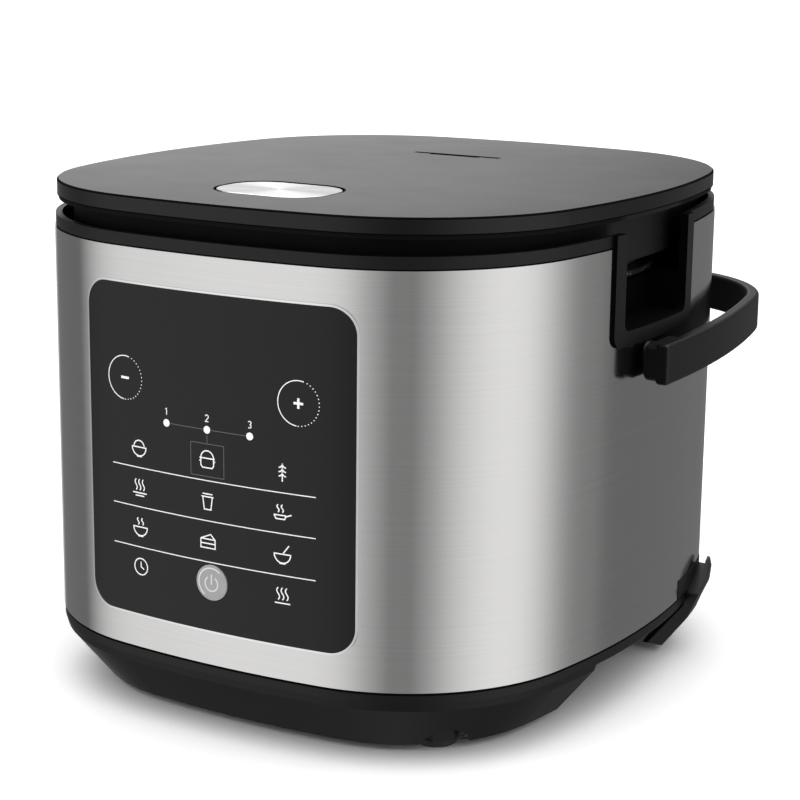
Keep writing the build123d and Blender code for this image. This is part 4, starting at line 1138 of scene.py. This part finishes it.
@dataclass
class ControlPanel(SubAssembly):
    """Glossy panel with its printed keys, lamps and power button, in millimetres."""

    wears: ClassVar[dict[Slot, tuple[str, ...]]] = {
        Slot.panel_gloss: ("control_panel", "display_module"),
        Slot.bright_trim: ("panel_trim",),
        Slot.grey_key: ("power_button",),
        Slot.inner_plastic: ("panel_carrier", "power_switch"),
        Slot.circuit_board: ("control_board",),
        Slot.lamp: ("indicator_leds",),
        Slot.fastener: ("panel_screws",),
    }

    ink_low: float = 0.44
    ink_high: float = 0.58
    ink_shift: float = -1.9
    hair: float = 0.42
    stroke: float = 0.55
    key_x: float = 46.5
    key_z: float = 162.2
    key_r: float = 10.0
    ring_ends: Span = (75.0, 265.0)
    ring_spans: int = 40
    ring_dots: int = 17
    dots_from: float = -90.0
    dots_step: float = 9.7
    dot_share: float = 0.62
    sign: float = 2.3
    lamp_x: float = 22.4
    lamp_z: float = 144.8
    lamp_r: float = 1.75
    lamp_gap: float = 0.4
    number_rise: float = 5.2
    number_half: float = 1.5
    rule_x: float = 54.9
    rule_z: tuple[float, ...] = (121.7, 103.3, 84.3)
    column_x: float = 38.7
    row_z: tuple[float, ...] = (131.0, 112.4, 94.0, 75.0)
    icon: float = 4.3
    faint: float = 0.3
    box_half: Point2 = (8.9, 7.4)

    def build(self) -> None:
        """Prints the panel."""
        for name, ink, prints in (
            ("panel_marks", Slot.marks_ink, (self._keys, self._lamps, self._programmes)),
            ("panel_faint_lines", Slot.faint_ink, (self._level_lines,)),
        ):
            sheet = MarkSheet(self.ink_low, self.ink_high, self.ink_shift)
            for print_on in prints:
                print_on(sheet)
            piece = sheet.piece(name, ink)
            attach(piece, "housing")

    def _keys(self, sheet: MarkSheet) -> None:
        """Prints the two setting keys: a ring that turns into dots, and a sign inside it.

        Args:
            sheet: The sheet to print on.
        """
        for x, plus in ((-self.key_x, False), (self.key_x, True)):
            middle = (x, self.key_z)
            sheet.line(arc(middle, self.key_r, *self.ring_ends, self.ring_spans), self.hair)
            dots_to = self.dots_from + self.dots_step * (self.ring_dots - 1)
            for spot in arc(middle, self.key_r, self.dots_from, dots_to, self.ring_dots - 1):
                sheet.dot(spot, self.hair * self.dot_share)
            sheet.line([(x - self.sign, self.key_z), (x + self.sign, self.key_z)], 2 * self.stroke)
            if plus:
                for side in (-1, 1):
                    ends = [(x, self.key_z + side * self.stroke), (x, self.key_z + side * self.sign)]
                    sheet.line(ends, 2 * self.stroke)

    def _lamps(self, sheet: MarkSheet) -> None:
        """Prints the three level lamps with their numbers.

        Args:
            sheet: The sheet to print on.
        """
        for number, x in zip("123", (-self.lamp_x, 0.0, self.lamp_x)):
            sheet.dot((x, self.lamp_z), self.lamp_r)
            spot = (x, self.lamp_z + self.number_rise)
            sheet.drawing(DIGIT_STROKES[number], spot, self.number_half, self.hair)

    def _level_lines(self, sheet: MarkSheet) -> None:
        """Prints the frame of the middle programme and the lines that join it to the lamps.

        Args:
            sheet: The sheet to print on.
        """
        gap = self.lamp_r + self.lamp_gap
        for side in (-1, 1):
            ends = sorted((side * gap, side * (self.lamp_x - gap)))
            sheet.line([(x, self.lamp_z) for x in ends], self.faint)
        half_w, half_h = self.box_half
        low, high = self.row_z[0] - half_h, self.row_z[0] + half_h
        sheet.line([(0.0, high + self.faint), (0.0, self.lamp_z - gap)], self.faint)
        corners = [(-half_w, low), (half_w, low), (half_w, high), (-half_w, high)]
        for a, b in zip(corners, corners[1:] + corners[:1]):
            sheet.line([a, b], self.faint)

    def _programmes(self, sheet: MarkSheet) -> None:
        """Prints the programme keys between their rules.

        Args:
            sheet: The sheet to print on.
        """
        for z in self.rule_z:
            sheet.line([(-self.rule_x, z), (self.rule_x, z)], self.hair)
        table = (
            (Pictogram.rice_bowl, Pictogram.crock, Pictogram.grain),
            (Pictogram.steamer, Pictogram.cup, Pictogram.pan),
            (Pictogram.soup, Pictogram.cake, Pictogram.porridge),
            (Pictogram.clock, None, Pictogram.warmth),
        )
        for z, row in zip(self.row_z, table):
            for x, icon in zip((-self.column_x, 0.0, self.column_x), row):
                if icon:
                    sheet.drawing(icon.value, (x, z), self.icon, self.stroke)


class Housing(SubAssembly):
    """Base, steel body, collar and side bezels, with the hinge and the inlet."""

    wears = {
        Slot.base_plastic: ("base_pan",),
        Slot.collar_plastic: ("collar",),
        Slot.black_plastic: ("cord_hooks", "hinge_bracket", "power_inlet"),
        Slot.recess_plastic: ("side_bezel_right", "side_bezel_left"),
        Slot.brushed_steel: ("body_wrap",),
        Slot.inner_plastic: ("bottom_plate",),
        Slot.rubber: ("rubber_feet",),
        Slot.fastener: ("base_screws", "hinge_screws", "hinge_pin", "hinge_spring", "latch_strike"),
        Slot.contact_brass: ("inlet_pins",),
    }


class Cooker(SubAssembly):
    """Pot, heater, sensor and power board inside the housing."""

    wears = {
        Slot.pot_coating: ("inner_pot",),
        Slot.aluminium: ("cooking_chamber", "heating_plate", "sensor_plunger"),
        Slot.heater_steel: ("heater_element", "sensor_bracket", "thermal_fuse", "transformer"),
        Slot.fastener: ("sensor_spring",),
        Slot.circuit_board: ("power_board",),
        Slot.inner_plastic: ("relay",),
    }


class Lid(SubAssembly):
    """Lid with its liner, button, latch and steam parts."""

    wears = {
        Slot.lid_plastic: ("lid_shell",),
        Slot.liner_plastic: ("lid_liner",),
        Slot.black_plastic: ("latch_hook", "steam_valve"),
        Slot.button_metal: ("lid_button",),
        Slot.aluminium: ("inner_lid",),
        Slot.silicone: ("inner_lid_gasket",),
        Slot.fastener: ("lid_screws", "button_spring"),
    }


class CarryHandle(SubAssembly):
    """Swinging strap and the pivots it turns on."""

    wears = {
        Slot.strap_plastic: ("carry_handle",),
        Slot.black_plastic: ("handle_pivots",),
        Slot.fastener: ("pivot_nuts",),
    }


@dataclass(frozen=True)
class SoftBox:
    """Bright patch of the surroundings that fades from its middle to its edge, in degrees."""

    azimuth: float
    edge: float
    strength: float


@dataclass
class Studio:
    """Pale floor and wall in metres, soft light all round, and the camera with its place in millimetres."""

    eye: Point3 = (519.8, -893.7, 365.7)
    azimuth: float = 30.40
    elevation: float = 13.103
    roll: float = 0.678
    focal: float = 2086.78
    picture: float = 800.0
    sensor: float = 36.0
    sight: float = 200.0
    floor_half: float = 30.0
    wall_r: float = 9.0
    wall_height: float = 9.0
    wall_spans: int = 48
    ambient: float = 0.25
    boxes: tuple[SoftBox, ...] = (
        SoftBox(-121.0, 53.0, 1.2),
        SoftBox(-64.0, 20.0, 0.14),
        SoftBox(-2.0, 55.0, 1.25),
        SoftBox(126.0, 20.0, 0.95),
    )
    fade: float = 1.15
    low_span: Span = (-0.85, -0.35)
    low_share: float = 0.6
    top_span: Span = (0.42, 0.88)
    top_strength: float = 3.2

    def build(self) -> None:
        """Sets up floor, wall, light and camera."""
        bpy.context.scene.view_settings.view_transform = "Standard"
        self._floor()
        self._wall()
        self._light()
        self._camera()

    def _floor(self) -> None:
        """Makes the floor, which mirrors nothing into the steel."""
        made = bmesh.new()
        half = self.floor_half
        corners = ((-half, -half), (half, -half), (half, half), (-half, half))
        made.faces.new([made.verts.new((x, y, 0.0)) for x, y in corners])
        floor = new_object("studio_floor", made, Slot.floor_paint)
        floor.visible_glossy = False

    def _wall(self) -> None:
        """Makes the far wall that low views see behind the floor; it lights and shades nothing."""
        made = bmesh.new()
        ring = arc((0.0, 0.0), self.wall_r, 0.0, 360.0, self.wall_spans)
        feet = [Vector((x, y, 0.0)) for x, y in ring]
        rise = Vector((0.0, 0.0, self.wall_height))
        for a, b in zip(feet, feet[1:]):
            made.faces.new([made.verts.new(spot) for spot in (a, b, b + rise, a + rise)])
        wall = new_object("studio_wall", made, Slot.wall_paper)
        wall.visible_diffuse = wall.visible_glossy = False
        wall.visible_transmission = wall.visible_shadow = False

    def _light(self) -> None:
        """Fills the world with soft boxes round the horizon and a bright ceiling."""
        world = bpy.data.worlds.new("studio_light")
        world.use_nodes = True
        bpy.context.scene.world = world
        graph = Graph(world.node_tree)
        way = graph.node("ShaderNodeTexCoord", out="Generated")
        heading = graph.unit(graph.flat(way))
        total: Any = self.ambient
        for box in self.boxes:
            angle = math.radians(box.azimuth)
            aim = (math.cos(angle), math.sin(angle), 0.0)
            edge = math.cos(math.radians(box.edge))
            glow = graph.step(graph.dot(heading, aim), edge, 1.0, Course.even) ** self.fade
            total = total + box.strength * glow
        height = graph.part(way, "Z")
        low = graph.step(height, *self.low_span)
        total = total * (self.low_share + (1.0 - self.low_share) * low)
        top = graph.step(height, *self.top_span)
        total = total * (1.0 - top) + self.top_strength * top
        shine = graph.node("ShaderNodeBackground", None, {"Strength": total})
        graph.node("ShaderNodeOutputWorld", None, {"Surface": shine})

    def _camera(self) -> None:
        """Places the camera where the photograph was taken from."""
        turn, rise, roll = (math.radians(a) for a in (self.azimuth, self.elevation, self.roll))
        back = Vector((math.sin(turn) * math.cos(rise), -math.cos(turn) * math.cos(rise), math.sin(rise)))
        right = Vector((math.cos(turn), math.sin(turn), 0.0))
        up = back.cross(right)
        side = right * math.cos(roll) + up * math.sin(roll)
        head = up * math.cos(roll) - right * math.sin(roll)
        data = bpy.data.cameras.new("photo_camera")
        data.sensor_width = self.sensor
        data.lens = self.focal / self.picture * self.sensor
        data.clip_end = self.sight
        camera = bpy.data.objects.new("photo_camera", data)
        basis = Matrix((side, head, back)).transposed().to_4x4()
        camera.matrix_world = Matrix.Translation(Vector(self.eye) * MM) @ basis
        bpy.context.scene.collection.objects.link(camera)
        bpy.context.scene.camera = camera


def main() -> None:
    """Sets up the studio, then dresses every sub-assembly and builds its own pieces."""
    logging.basicConfig(level=logging.INFO, format="%(name)s: %(message)s")
    Studio().build()
    for part in (Housing(), Cooker(), Lid(), CarryHandle(), ControlPanel()):
        part.dress()
        part.build()
        LOG.info("finished %s", type(part).__name__)


if __name__ == "__main__":
    main()
